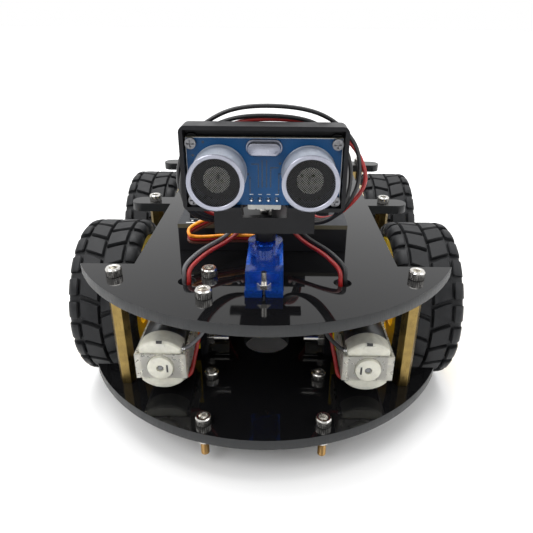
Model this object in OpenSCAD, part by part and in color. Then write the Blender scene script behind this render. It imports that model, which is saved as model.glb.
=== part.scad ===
// Four-wheel robot car with a panning distance sensor.
// X points right, Y points to the rear, Z up; the origin is on the ground under the middle of the car.

/* [Wheels] */
// Tyre diameter
wheel_d = 65; // [64:0.5:66]
// Tyre width
wheel_w = 26; // [24:0.5:27]
// Distance between the middles of the left and right tyres
track = 126; // [125:0.5:128]
// Distance between the front and rear axles
wheelbase = 78; // [77:0.5:78.5]

/* [Decks] */
// Length of both decks
deck_len = 192; // [190:1:198]
// Thickness of both decks
deck_t = 4; // [3:0.5:4.5]
// Radius of the rounded nose
nose_r = 75; // [74:0.5:78]
// Width of the waist between the wheels
waist_w = 94; // [90:1:95]
// Overall width of the cross arms
arm_span = 132; // [128:1:134]
// Height of the lower deck's top face over the ground
lower_top = 18.5; // [18:0.5:20]
// Length of the brass standoffs between the decks
standoff_len = 40; // [38:1:42]

/* [Motors] */
// Thickness of the gearbox along the axle
gearbox_w = 18.8; // [18:0.1:19.2]
// Height of the gearbox
gearbox_h = 22.5; // [22:0.1:23]
// Distance of each motor's centre plane from the car's centre plane
motor_x = 36; // [35.5:0.1:36.5]
// Length of the motor screws
motor_screw_len = 30; // [30:1:31]

/* [Pan servo] */
// Length of the servo case
servo_l = 22.8; // [22.5:0.1:23]
// Width of the servo case
servo_w = 12.2; // [11.8:0.1:12.4]
// Length over the servo's two tabs
servo_tabs_l = 32.2; // [32:0.1:32.6]

/* [Sensor head] */
// Width of the sensor board
board_w = 45; // [44:0.5:46]
// Height of the sensor board
board_h = 20; // [19:0.5:21]
// Distance between the two transducers
can_spacing = 26; // [25:0.5:27]
// Transducer diameter
can_d = 16; // [15.5:0.1:16.4]
// Height of the sensor board's middle over the ground
head_z = 101; // [100:0.5:102]

/* [Electronics] */
// Width of the controller board
controller_w = 63; // [60:1:64]
// Depth of the controller board
controller_l = 54; // [52:1:55]
// Diameter of the battery cells
cell_d = 18.4; // [18.2:0.1:18.6]
// Length of the battery cells
cell_l = 65.2; // [65:0.1:65.4]

/* [Hidden] */
$fn = 48;

// Ends and heights of the decks
nose_y = -deck_len / 2;
tail_y = deck_len / 2;
lobe_l = 40;
lower_bottom = lower_top - deck_t;
upper_bottom = lower_top + standoff_len;
upper_top = upper_bottom + deck_t;

// Axles
axle_z = wheel_d / 2;
front_axle_y = nose_y + 72.5;
rear_axle_y = front_axle_y + wheelbase;
// Each corner's name, its side and its axle's place
corners = [["fl", -1, front_axle_y], ["fr", 1, front_axle_y], ["rl", -1, rear_axle_y], ["rr", 1, rear_axle_y]];

// Cross arms: the middle arm lies between the wheels, the rear arm behind them
arm_l = 10;
mid_arm_y = nose_y + 111.5;
rear_arm_y = tail_y - arm_l / 2;
standoff_spots = [for (s = [-1, 1]) each [[51.5 * s, nose_y + 31], [55 * s, mid_arm_y], [54 * s, rear_arm_y + 1]]];

// Fasteners
m3_r = 1.5;
m3_hole_r = 1.6;
m2_r = 0.9;
m2_hole_r = 1;
m3_head_d = 5.5;
m3_head_h = 3;
m3_socket_af = 2.5;
m3_socket_depth = 1.6;
m3_nut_af = 5.5;
m3_nut_h = 2.4;
lock_nut_h = 4;
pan_head_h = 1.8;
standoff_af = 5.5;
front_screw_x = 20.3;
front_screw_ys = [nose_y + 8.2, nose_y + 32.6];
front_screw_len = 14;
second_screw_len = 10;
deck_screw_len = 8;
screw_grip = 6;
extra_screw_x = -19;
extra_screw_ys = [nose_y + 16.5, nose_y + 31.5];
accessory_pitch = 20;
accessory_y = nose_y + 110;
round_hole_d = 19;
round_hole_y = nose_y + 58;

// Gear motor, measured from its axle: the can points forward
gearbox_front = -25.7;
gearbox_rear = 11.3;
gearbox_wall = 1.5;
tail_tab_l = 5;
tail_tab_w = 4;
tail_tab_h = 11;
motor_hole_y = -20.6;
motor_hole_z = 8.75;
can_width = 15;
can_height = 20;
can_front = -45.2;
cap_front = -51.7;
cap_r = 10.2;
motor_front = -53.7;
strap_t = 0.8;
strap_h = 10;
strap_gap = 0.6;
strap_hook_t = 1.3;
strap_hook_l = 8;
cap_boss_r = 4.5;
pinion_r = 1;
can_boss_r = 3;
can_boss_l = 1.5;
shaft_r = 2.7;
shaft_reach = 18.3;
running_gap = 0.05;
bracket_t = 3;
bracket_l = 9.6;
bracket_tab_l = 7;
bracket_top = axle_z + motor_hole_z + 4;

// Wheel, measured outward from the motor's centre plane
wheel_inner = track / 2 - wheel_w / 2 - motor_x;
wheel_outer = wheel_inner + wheel_w;
rim_r = wheel_d / 2 - 6.5;
hub_inner = 10.8;
hub_outer = 21;

// Servo
servo_front = nose_y + 21;
servo_rear = servo_front + servo_l;
servo_mid = (servo_front + servo_rear) / 2;
servo_bottom = upper_top - 15.9;
servo_tab_t = 2.5;
servo_case_top = upper_top + 6.8;
servo_tower_top = servo_case_top + 4;
servo_screw_pitch = 27.6;
servo_wall = 1.2;
servo_slot_w = 1.2;
tower_d = 11.8;
tower_bump_d = 5.6;
tower_bump_y = 7;
spline_l = 0.8;
horn_hub_r = 3.5;
horn_span = 26;
horn_arm_w = 4.4;
pan_y = servo_rear - 6.1;
spline_r = 2.4;
horn_bottom = servo_tower_top + 0.5;
horn_arm_z = 79.2;
flange_bottom = 80.7;
flange_t = 2.5;
flange_r = 9;

// Sensor head, which faces forward
pcb_t = 1.6;
pcb_y = nose_y + 22.5;
frame_w = 48;
frame_bottom = head_z - 11.3;
frame_top = head_z + 13.6;
frame_front = pcb_y - 2.5;
frame_back = pcb_y + 5;
frame_wall = 1.2;
frame_corner_r = 2;
back_wall_t = 2;
tab_w = 31.2;
tab_t = 2.5;
slot_w = 14;
slot_bottom = 86;
window_half_w = 14;
post_r = 2.4;
gusset_t = 2;
gusset_l = 8;
gusset_h = 7;
can_len = 12;
can_wall = 0.8;
sensor_hole_x = 21;
sensor_hole_z = 8.4;
plug_back_y = -54;

// Controller board on its tray
controller_x = -1.5;
controller_y = nose_y + 52.5 + controller_l / 2;
tray_h = 9;
tray_wall = 2;
controller_bottom = upper_top + tray_h;
controller_top = controller_bottom + pcb_t;
button_x = controller_x + 22;
button_y = controller_y + 20;
button_travel = 0.25;
button_floor = 1;
button_r = 1.7;
socket_rear = controller_y + controller_l / 2 + 2;
usb_size = [12, 14, 10.5];
jack_size = [9, 13, 11];
jack_x = controller_x + 5.5;
jack_z = controller_top + 6;

// Battery holder and power switch on the upper deck's rear half
holder_w = 77;
holder_l = 41;
holder_h = 15;
holder_floor = 1.5;
holder_end = 4;
holder_side = 1.2;
cell_pitch = 19.6;
cell_tip_r = 3;
cell_tip_l = 1.6;
holder_y = nose_y + 138 + holder_l / 2;
switch_x = 32;
switch_y = holder_y - holder_l / 2 - 16;
rocker_tilt = 12;
switch_hole = [13.5, 8.5];
switch_depth = 12;
bezel_h = 2;
rocker_z = upper_top + 0.2;
rocker_pin_r = 0.6;

// Wire routes
lead_r = 1.1;
cable_slot = [0, -45.6];
cable_slot_size = [6.4, 2.8];
lead_hole_d = 6;
front_lead_hole = [26, -69];
rear_lead_hole = [17, 4];
servo_cable_route = [[0, servo_rear, 50], [0, servo_rear + 1.2, 50], [0, servo_rear + 2.4, 50], [0, -46.5, 51.5],
    [0, -45.6, 55], [0, -45.6, 60], [0, -45.6, 65], [-3, -45.8, 68], [-9, -46.8, 69], [-16, -48.5, 69.5],
    [-23, -51, 70], [-27, -52, 71], [-27, -49.5, 73], [-22, -46, 74.8], [-17, -42.5, 76], [-14, -40.5, 76.5],
    [-14, -38.5, 76.5], [-14, -36.5, 76.5]];
sensor_cable_route = [[0, plug_back_y, 90.3], [0, plug_back_y + 1, 90.3], [0, plug_back_y + 2, 90.3],
    [1.5, -48.6, 89], [5, -45.8, 84.5], [11, -46.5, 79.5], [18, -53, 78.5], [24.5, -60, 84], [28.5, -63.5, 95],
    [26, -65, 107], [16, -65.5, 115], [2, -65.5, 117.3], [-12, -65.5, 115.5], [-23.5, -65, 107.5],
    [-26.5, -63, 95], [-23, -59, 84], [-15, -52, 78.5], [-6, -46.8, 79.5], [2, -43, 84], [8, -35, 90],
    [12, -22, 94], [14, -8, 93], [12.5, 2, 88.5], [12.5, 2.75, 85], [12.5, 2.75, 83.3], [12.5, 2.75, 81.6]];
front_lead_route = [[27.2, -72.5, 39.5], [25.5, -72, 40.2], [21, -69.5, 43.5], [18.5, -67.5, 48.5],
    [20.5, -67.8, 53.5], [25, -69, 57.5], [26, -69, 60.5], [26, -69, 63.5], [25.5, -67, 67], [21, -60.5, 69.5],
    [14.5, -53, 71], [10.5, -47, 73], [10, -43, 76], [10, -40.5, 76.5], [10, -38.5, 76.5], [10, -36.5, 76.5]];
rear_lead_route = [[27.2, 5.5, 39.5], [25.5, 5.4, 41], [22.5, 4.8, 46], [20, 4.2, 51], [17, 4, 57], [16, 4, 61],
    [16, 4, 66]];
switch_lead_route = [[switch_x, switch_y, upper_top - switch_depth], [switch_x, switch_y, 49.7],
    [switch_x, switch_y, 48.9], [31, 22, 46.5], [26, 15, 46.5], [21, 8, 51], [18.4, 4.5, 57], [18.3, 4, 61],
    [18.3, 4, 66]];
battery_lead_route = [[-10, 42, 68], [-10, 41.2, 68], [-10, 40.4, 68], [-10, 37, 67.9], [-5, 30, 69], [2, 24, 74],
    [4, 18, 78.5], [jack_x, socket_rear + 1.6, jack_z], [jack_x, socket_rear + 0.8, jack_z],
    [jack_x, socket_rear, jack_z]];

// ---------- Shapes that repeat ----------

// Copies its children to both sides of the centre plane
module both_sides() {
    for (s = [0, 1]) mirror([s, 0, 0]) children();
}

// A box given by its low corner and its high corner
module block(low, high) {
    translate(low) cube(high - low);
}

// A round bar along X between two places
module bar_x(x0, x1, r) {
    translate([x0, 0, 0]) rotate([0, 90, 0]) cylinder(r = r, h = x1 - x0);
}

// A round bar along Y between two places
module bar_y(y0, y1, r) {
    translate([0, y0, 0]) rotate([-90, 0, 0]) cylinder(r = r, h = y1 - y0);
}

// Socket-head cap screw: its head stands on Z = 0 and its shank points down
module cap_screw(len) {
    difference() {
        cylinder(d = m3_head_d, h = m3_head_h);
        translate([0, 0, m3_head_h - m3_socket_depth])
            cylinder(d = m3_socket_af / cos(30), h = m3_socket_depth + 1, $fn = 6);
    }
    translate([0, 0, -len]) cylinder(r = m3_r, h = len);
}

// Hexagon nut standing on Z = 0
module hex_nut(af, h, r) {
    difference() {
        cylinder(d = af / cos(30), h = h, $fn = 6);
        translate([0, 0, -1]) cylinder(r = r, h = h + 2);
    }
}

// Small cross-head screw: its head stands on Z = 0 and its shank points down
module small_screw(head_d, len) {
    head_h = 1.2;
    recess_w = 0.5;
    difference() {
        cylinder(d = head_d, h = head_h);
        for (a = [0, 90]) rotate([0, 0, a])
            translate([-head_d / 3, -recess_w / 2, head_h / 2]) cube([head_d / 1.5, recess_w, head_h]);
    }
    translate([0, 0, -len]) cylinder(r = m2_r, h = len);
}

// Puts its children at one corner's axle, with X pointing outward
module at_corner(corner) {
    translate([corner[1] * motor_x, corner[2], axle_z]) mirror([corner[1] < 0 ? 1 : 0, 0, 0]) children();
}

// ---------- Wires ----------

function unit(v) = v / norm(v);

// A point of a smooth curve through four neighbouring route points
function curve_point(a, b, c, d, t) =
    0.5 * ((2 * b) + (c - a) * t + (2 * a - 5 * b + 4 * c - d) * t * t + (3 * b - a - 3 * c + d) * t * t * t);

// The route with one curved midpoint between each pair of points
function smooth_route(p) = [
    for (i = [0:len(p) - 2]) each [
        p[i],
        curve_point(p[max(i - 1, 0)], p[i], p[i + 1], p[min(i + 2, len(p) - 1)], 0.5)
    ],
    p[len(p) - 1]
];

function heading(p, i) = unit(p[min(i + 1, len(p) - 1)] - p[max(i - 1, 0)]);

// One ring of the tube around route point i
function ring(p, i, rx, rz, sides, lean) =
    let (t = heading(p, i), u = unit(cross(t, lean)), v = cross(u, t))
    [for (k = [0:sides - 1]) p[i] + rx * cos(360 * k / sides) * u + rz * sin(360 * k / sides) * v];

// A wire swept along its route; lean is any direction that the route never points along
module wire(route, rx, rz, lean = [0.2, 0.1, 1], sides = 8) {
    p = smooth_route(route);
    n = len(p);
    points = [for (i = [0:n - 1]) each ring(p, i, rx, rz, sides, lean)];
    walls = [for (i = [0:n - 2], k = [0:sides - 1])
        [i * sides + k, i * sides + (k + 1) % sides, (i + 1) * sides + (k + 1) % sides, (i + 1) * sides + k]];
    near_end = [[for (k = [sides - 1:-1:0]) k]];
    far_end = [[for (k = [0:sides - 1]) (n - 1) * sides + k]];
    polyhedron(points = points, faces = concat(walls, near_end, far_end), convexity = 10);
}

// ---------- Decks ----------

module cross_arm(y) {
    round_end_x = arm_span / 2 - arm_l / 2;
    translate([-round_end_x, y - arm_l / 2]) square([2 * round_end_x, arm_l]);
    for (s = [-1, 1]) translate([s * round_end_x, y]) circle(d = arm_l);
}

module deck_outline() {
    intersection() {
        translate([0, nose_y + nose_r]) circle(r = nose_r, $fn = 128);
        translate([-nose_r, nose_y]) square([2 * nose_r, lobe_l]);
    }
    translate([-waist_w / 2, nose_y + lobe_l - 1]) square([waist_w, deck_len - lobe_l + 1]);
    cross_arm(mid_arm_y);
    cross_arm(rear_arm_y);
}

module standoff_holes() {
    for (p = standoff_spots) translate(p) circle(r = m3_hole_r);
}

// Free M3 holes in a square, for a stranger's module
module accessory_holes() {
    for (x = [-1, 1], y = [-1, 1])
        translate([x * accessory_pitch / 2, accessory_y + y * accessory_pitch / 2]) circle(r = m3_hole_r);
}

module lower_deck() {
    color([0.05, 0.05, 0.055]) translate([0, 0, lower_bottom]) linear_extrude(deck_t) difference() {
        deck_outline();
        standoff_holes();
        for (x = [-1, 1], y = front_screw_ys) translate([x * front_screw_x, y]) circle(r = m3_hole_r);
        for (c = corners) translate([c[1] * (motor_x - gearbox_w / 2 - bracket_t / 2), c[2] + motor_hole_y])
            square([bracket_t, bracket_tab_l], center = true);
        translate([0, round_hole_y]) circle(d = round_hole_d);
        accessory_holes();
    }
}

module upper_deck() {
    color([0.05, 0.05, 0.055]) translate([0, 0, upper_bottom]) linear_extrude(deck_t) difference() {
        deck_outline();
        standoff_holes();
        for (y = extra_screw_ys) translate([extra_screw_x, y]) circle(r = m3_hole_r);
        translate([0, servo_mid]) square([servo_w + 0.4, servo_l + 0.4], center = true);
        for (s = [-1, 1]) translate([0, servo_mid + s * servo_screw_pitch / 2]) circle(r = m2_hole_r);
        translate(cable_slot) square(cable_slot_size, center = true);
        both_sides() translate(front_lead_hole) circle(d = lead_hole_d);
        both_sides() translate(rear_lead_hole) circle(d = lead_hole_d);
        translate([switch_x, switch_y]) square(switch_hole, center = true);
    }
}

// ---------- Deck fasteners ----------

module standoffs() {
    color([0.78, 0.62, 0.3]) for (p = standoff_spots) translate([p[0], p[1], lower_top]) difference() {
        cylinder(d = standoff_af / cos(30), h = standoff_len, $fn = 6);
        translate([0, 0, -1]) cylinder(r = m3_r, h = standoff_len + 2);
    }
}

module standoff_screws() {
    color("silver") for (p = standoff_spots) {
        translate([p[0], p[1], upper_top]) cap_screw(deck_t + screw_grip);
        translate([p[0], p[1], lower_bottom]) mirror([0, 0, 1]) cap_screw(deck_t + screw_grip);
    }
}

module front_screws() {
    color("silver") for (x = [-1, 1], y = front_screw_ys) translate([x * front_screw_x, y, lower_top])
        cap_screw(y == front_screw_ys[0] ? front_screw_len : second_screw_len);
}

module front_nuts() {
    color("silver") for (x = [-1, 1], y = front_screw_ys) translate([x * front_screw_x, y, lower_bottom - lock_nut_h])
        hex_nut(m3_nut_af, lock_nut_h, m3_r);
}

module deck_screws() {
    color("silver") for (y = extra_screw_ys) translate([extra_screw_x, y, upper_top]) cap_screw(deck_screw_len);
}

module deck_nuts() {
    color("silver") for (y = extra_screw_ys) translate([extra_screw_x, y, upper_bottom - m3_nut_h])
        hex_nut(m3_nut_af, m3_nut_h, m3_r);
}

// ---------- Gear motors ----------

module motor_hole_spots() {
    for (s = [-1, 1]) translate([0, motor_hole_y, s * motor_hole_z]) children();
}

module motor_brackets() {
    inner = -gearbox_w / 2 - bracket_t;
    color([0.08, 0.08, 0.09]) for (c = corners) at_corner(c) difference() {
        union() {
            block([inner, motor_hole_y - bracket_l / 2, lower_top - axle_z],
                [inner + bracket_t, motor_hole_y + bracket_l / 2, bracket_top - axle_z]);
            block([inner, motor_hole_y - bracket_tab_l / 2, lower_bottom - axle_z],
                [inner + bracket_t, motor_hole_y + bracket_tab_l / 2, lower_top - axle_z]);
        }
        motor_hole_spots() bar_x(inner - 1, inner + bracket_t + 1, m3_hole_r);
    }
}

module motor_screws() {
    color("silver") for (c = corners) at_corner(c) motor_hole_spots()
        translate([gearbox_w / 2, 0, 0]) rotate([0, 90, 0]) pan_head_screw();
}

// Pan-head screw, flat enough to clear the wheel
module pan_head_screw() {
    cylinder(d = m3_head_d, h = pan_head_h);
    translate([0, 0, -motor_screw_len]) cylinder(r = m3_r, h = motor_screw_len);
}

module motor_nuts() {
    seat = -gearbox_w / 2 - bracket_t - m3_nut_h;
    color("silver") for (c = corners) at_corner(c) motor_hole_spots()
        translate([seat, 0, 0]) rotate([0, 90, 0]) hex_nut(m3_nut_af, m3_nut_h, m3_r);
}

// Clear strap that hooks over the gearbox sides and holds the motor in
module motor_straps() {
    leg = can_width / 2 + strap_gap;
    half_h = strap_h / 2;
    side = gearbox_w / 2;
    front = cap_front - strap_t;
    color([0.85, 0.82, 0.72, 0.6]) for (c = corners) at_corner(c) {
        difference() {
            block([-leg - strap_t, front, -half_h], [leg + strap_t, cap_front, half_h]);
            bar_y(front - 1, cap_front + 1, cap_boss_r + 0.2);
        }
        both_sides() block([leg, cap_front, -half_h], [leg + strap_t, gearbox_front, half_h]);
        block([leg, gearbox_front - strap_hook_t, -half_h], [side + strap_t, gearbox_front, half_h]);
        block([side, gearbox_front, -half_h], [side + strap_t, gearbox_front + strap_hook_l, half_h]);
    }
}

module gearbox(c) {
    half_w = gearbox_w / 2;
    half_h = gearbox_h / 2;
    color([0.98, 0.78, 0.1]) at_corner(c) difference() {
        union() {
            difference() {
                block([-half_w, gearbox_front, -half_h], [half_w, gearbox_rear, half_h]);
                block([-half_w + gearbox_wall, gearbox_front + gearbox_wall, -half_h + gearbox_wall],
                    [half_w - gearbox_wall, gearbox_rear - gearbox_wall, half_h - gearbox_wall]);
            }
            difference() {
                block([-tail_tab_w / 2, gearbox_rear, -tail_tab_h / 2],
                    [tail_tab_w / 2, gearbox_rear + tail_tab_l, tail_tab_h / 2]);
                translate([0, gearbox_rear + tail_tab_l / 2, 0]) bar_x(-tail_tab_w, tail_tab_w, m3_r);
            }
            motor_hole_spots() bar_x(-half_w, half_w, m3_hole_r + 0.9);
        }
        bar_x(-half_w - 1, half_w + 1, shaft_r + running_gap);
        motor_hole_spots() bar_x(-half_w - 1, half_w + 1, m3_hole_r);
        bar_y(gearbox_front - 1, gearbox_front + 3, can_boss_r + 0.2);
    }
}

// Motor can: round above and below, flat on both sides
module motor_can(c) {
    color([0.35, 0.36, 0.37]) at_corner(c) {
        intersection() {
            bar_y(can_front, gearbox_front, can_height / 2);
            block([-can_width / 2, can_front, -can_height / 2], [can_width / 2, gearbox_front, can_height / 2]);
        }
        bar_y(gearbox_front, gearbox_front + can_boss_l, can_boss_r);
        bar_y(gearbox_front + can_boss_l, gearbox_front + 8, pinion_r);
    }
}

module motor_cap(c) {
    color([0.88, 0.87, 0.8]) at_corner(c) {
        intersection() {
            bar_y(cap_front, can_front, cap_r);
            block([-can_width / 2, cap_front, -cap_r], [can_width / 2, can_front, cap_r]);
        }
        bar_y(motor_front, cap_front, cap_boss_r);
    }
}

// Double-flat shaft with its output gear
module drive_shaft(c) {
    gear_teeth = 20;
    gear_half_w = 3;
    root_r = 7.6;
    tip_r = 9;
    tooth_half_w = 0.7;
    flat = 1.85;
    flat_start = 11;
    color([0.9, 0.9, 0.88]) at_corner(c) {
        difference() {
            bar_x(-shaft_reach, shaft_reach, shaft_r);
            for (end = [0, 1], side = [0, 1]) mirror([end, 0, 0]) mirror([0, side, 0])
                block([flat_start, flat, -shaft_r], [shaft_reach + 1, shaft_r + 1, shaft_r]);
        }
        bar_x(-gear_half_w, gear_half_w, root_r);
        for (k = [0:gear_teeth - 1]) rotate([360 * k / gear_teeth, 0, 0])
            block([-gear_half_w, -tooth_half_w, root_r - 0.6], [gear_half_w, tooth_half_w, tip_r]);
    }
}

// ---------- Wheels ----------

module wheel_rim(c) {
    spokes = 6;
    barrel_t = 2;
    edge_step = 1;
    hub_r = 6;
    web_t = 3;
    web_x = 15;
    window_r = 5;
    window_spot = 15;
    color([0.95, 0.75, 0.1]) at_corner(c) difference() {
        union() {
            difference() {
                bar_x(wheel_inner + edge_step, wheel_outer - edge_step, rim_r);
                bar_x(wheel_inner, wheel_outer, rim_r - barrel_t);
            }
            bar_x(web_x, web_x + web_t, rim_r - barrel_t / 2);
            bar_x(hub_inner, hub_outer, hub_r);
        }
        bar_x(hub_inner - 1, hub_outer - 2, shaft_r);
        for (k = [0:spokes - 1]) rotate([360 * (k + 0.5) / spokes, 0, 0])
            translate([0, 0, window_spot]) bar_x(web_x - 1, web_x + web_t + 1, window_r);
    }
}

module tyre(c) {
    shoulder = 3;
    edge_drop = 0.8;
    edge_w = 1.6;
    tread_edge = 4;
    w = wheel_w;
    r = wheel_d / 2;
    color([0.16, 0.16, 0.17]) at_corner(c) translate([wheel_inner, 0, 0]) rotate([0, 90, 0]) rotate_extrude($fn = 96)
        polygon([[rim_r, 0], [r - shoulder, 0], [r - edge_drop, edge_w], [r, tread_edge], [r, w - tread_edge],
            [r - edge_drop, w - edge_w], [r - shoulder, w], [rim_r, w]]);
}

// ---------- Pan servo ----------

module servo_tab_spots() {
    for (s = [-1, 1]) translate([0, servo_mid, 0]) mirror([0, s < 0 ? 1 : 0, 0])
        translate([0, servo_screw_pitch / 2, 0]) children();
}

module servo_case() {
    half = servo_w / 2;
    tower_h = servo_tower_top - servo_case_top;
    color([0.05, 0.2, 0.65, 0.8]) difference() {
        union() {
            block([-half, servo_front, servo_bottom], [half, servo_rear, servo_case_top]);
            block([-half, servo_mid - servo_tabs_l / 2, upper_top],
                [half, servo_mid + servo_tabs_l / 2, upper_top + servo_tab_t]);
            translate([0, pan_y, servo_case_top]) cylinder(d = tower_d, h = tower_h);
            translate([0, pan_y - tower_bump_y, servo_case_top]) cylinder(d = tower_bump_d, h = tower_h);
        }
        block([-half + servo_wall, servo_front + servo_wall, servo_bottom + servo_wall],
            [half - servo_wall, servo_rear - servo_wall, servo_case_top - servo_wall]);
        translate([0, pan_y, servo_case_top - 2]) cylinder(r = spline_r + running_gap, h = tower_h + 3);
        servo_tab_spots() {
            translate([0, 0, upper_top - 1]) cylinder(r = m2_hole_r, h = servo_tab_t + 2);
            translate([-servo_slot_w / 2, -0.5, upper_top - 1]) cube([servo_slot_w, 4, servo_tab_t + 2]);
        }
    }
}

module servo_screws() {
    color("silver") servo_tab_spots() translate([0, 0, upper_bottom]) mirror([0, 0, 1]) small_screw(3.6, 12);
}

module servo_nuts() {
    color("silver") servo_tab_spots() translate([0, 0, upper_top + servo_tab_t]) hex_nut(4, 1.6, m2_r);
}

module servo_horn() {
    arm_t = flange_bottom - horn_arm_z;
    color([0.1, 0.1, 0.11]) translate([0, pan_y, 0]) {
        translate([0, 0, servo_case_top - spline_l])
            cylinder(r = spline_r, h = horn_bottom - servo_case_top + spline_l);
        translate([0, 0, horn_bottom]) cylinder(r = horn_hub_r, h = horn_arm_z - horn_bottom);
        difference() {
            translate([0, 0, horn_arm_z]) union() {
                cylinder(r = horn_hub_r, h = arm_t);
                translate([-horn_span / 2, -horn_arm_w / 2, 0]) cube([horn_span, horn_arm_w, arm_t]);
            }
            translate([0, 0, horn_arm_z - 1]) cylinder(r = m2_r, h = arm_t + 2);
        }
    }
}

module horn_screw() {
    color("silver") translate([0, pan_y, flange_bottom + flange_t]) small_screw(4, 4);
}

// ---------- Sensor head ----------

module sensor_hole_spots() {
    for (x = [-1, 1], z = [-1, 1]) translate([x * sensor_hole_x, 0, head_z + z * sensor_hole_z]) children();
}

module bracket_flange() {
    translate([0, 0, flange_bottom]) {
        translate([-flange_r, frame_back - tab_t, 0]) cube([2 * flange_r, pan_y - frame_back + tab_t, flange_t]);
        translate([0, pan_y, 0]) cylinder(r = flange_r, h = flange_t);
    }
    both_sides() translate([flange_r - gusset_t, frame_back, flange_bottom + flange_t]) rotate([90, 0, 90])
        linear_extrude(gusset_t) polygon([[0, 0], [gusset_l, 0], [0, gusset_h]]);
}

// Upright plate with rounded corners
module frame_plate() {
    middle_z = (frame_bottom + frame_top) / 2;
    inner = [frame_w - 2 * frame_corner_r, frame_top - frame_bottom - 2 * frame_corner_r];
    translate([0, frame_back, middle_z]) rotate([90, 0, 0]) linear_extrude(frame_back - frame_front)
        offset(r = frame_corner_r) square(inner, center = true);
}

// Frame that holds the board, with a tab and a flange down to the servo horn
module sensor_bracket() {
    color([0.08, 0.08, 0.09]) difference() {
        union() {
            difference() {
                frame_plate();
                block([-frame_w / 2 + frame_wall, frame_front - 1, frame_bottom + frame_wall],
                    [frame_w / 2 - frame_wall, frame_back - back_wall_t, frame_top - frame_wall]);
                block([-window_half_w, frame_front, frame_bottom + 6],
                    [window_half_w, frame_back + 1, frame_top - 4]);
            }
            sensor_hole_spots() bar_y(pcb_y + pcb_t, frame_back, post_r);
            block([-tab_w / 2, frame_back - tab_t, flange_bottom], [tab_w / 2, frame_back, frame_bottom + 2]);
            bracket_flange();
        }
        block([-slot_w / 2, frame_front - 1, slot_bottom], [slot_w / 2, frame_back + 1, frame_bottom + 3]);
        sensor_hole_spots() bar_y(pcb_y, frame_back + 1, m2_hole_r);
        translate([0, pan_y, flange_bottom - 1]) cylinder(r = m2_r, h = 5);
    }
}

module sensor_board() {
    color([0, 0.25, 0.5]) difference() {
        block([-board_w / 2, pcb_y, head_z - board_h / 2], [board_w / 2, pcb_y + pcb_t, head_z + board_h / 2]);
        sensor_hole_spots() bar_y(pcb_y - 1, pcb_y + pcb_t + 1, m2_hole_r);
    }
}

module can_spots() {
    for (s = [-1, 1]) translate([s * can_spacing / 2, pcb_y, head_z]) children();
}

module sensor_cans() {
    color([0.75, 0.76, 0.78]) can_spots() difference() {
        bar_y(-can_len, 0, can_d / 2);
        bar_y(-can_len - 1, -can_wall, can_d / 2 - can_wall);
    }
}

module sensor_grilles() {
    recess = 0.9;
    mesh_t = 0.6;
    color([0.3, 0.3, 0.3]) can_spots() bar_y(recess - can_len, recess + mesh_t - can_len, can_d / 2 - can_wall);
}

module crystal_can() {
    half_w = 5.3;
    half_h = 2.3;
    depth = 3.5;
    color("silver") translate([0, pcb_y - depth, head_z + 7.3]) rotate([-90, 0, 0]) linear_extrude(depth) {
        square([2 * (half_w - half_h), 2 * half_h], center = true);
        for (s = [-1, 1]) translate([s * (half_w - half_h), 0]) circle(r = half_h);
    }
}

// Header strip behind the board and the cable's plug on it
module sensor_header() {
    base_z = head_z - board_h / 2 - 2;
    base_y = pcb_y + pcb_t;
    pitch = 2.54;
    color([0.85, 0.85, 0.83]) block([-6, base_y, base_z], [6, base_y + pitch, base_z + 2.6]);
    color([0.1, 0.1, 0.1]) block([-2 * pitch, base_y + pitch, base_z], [2 * pitch, plug_back_y, base_z + 2.6]);
}

module sensor_screws() {
    color("silver") sensor_hole_spots() translate([0, pcb_y, 0]) rotate([90, 0, 0]) small_screw(3.2, 6);
}

// ---------- Controller ----------

module board_tray() {
    half_w = controller_w / 2;
    half_l = controller_l / 2;
    color([0.07, 0.07, 0.08]) translate([controller_x, controller_y, upper_top]) difference() {
        block([-half_w, -half_l, 0], [half_w, half_l, tray_h]);
        block([-half_w + tray_wall, -half_l + tray_wall, 1.5], [half_w - tray_wall, half_l - tray_wall, tray_h + 1]);
        translate([-controller_x, -controller_y, -1]) both_sides() translate(rear_lead_hole)
            cylinder(d = lead_hole_d, h = 4);
    }
}

module controller_board() {
    color([0.05, 0.06, 0.08]) translate([controller_x, controller_y, controller_bottom])
        translate([-controller_w / 2, -controller_l / 2, 0]) cube([controller_w, controller_l, pcb_t]);
}

// Black header strips, two along each long edge of the board, and the processor between them
module board_headers() {
    strip_w = 2.5;
    strip_h = 8.5;
    front_strips = [[-28, 26], [2, 15]];
    rear_strips = [[-12.5, 12.5], [11, 7]];
    chip = [14, 14, 1.2];
    button_case = [6, 6, 3.4];
    color([0.09, 0.09, 0.1]) translate([controller_x, controller_y, controller_top]) {
        for (strip = front_strips) translate([strip[0], -20, 0]) cube([strip[1], strip_w, strip_h]);
        for (strip = rear_strips) translate([strip[0], 18, 0]) cube([strip[1], strip_w, strip_h]);
        translate([-12, -9, 0]) cube(chip);
    }
    color([0.09, 0.09, 0.1]) translate([button_x, button_y, controller_top]) difference() {
        translate([-button_case[0] / 2, -button_case[1] / 2, 0]) cube(button_case);
        translate([0, 0, button_floor]) cylinder(r = button_r + 0.1, h = 5);
    }
}

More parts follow.
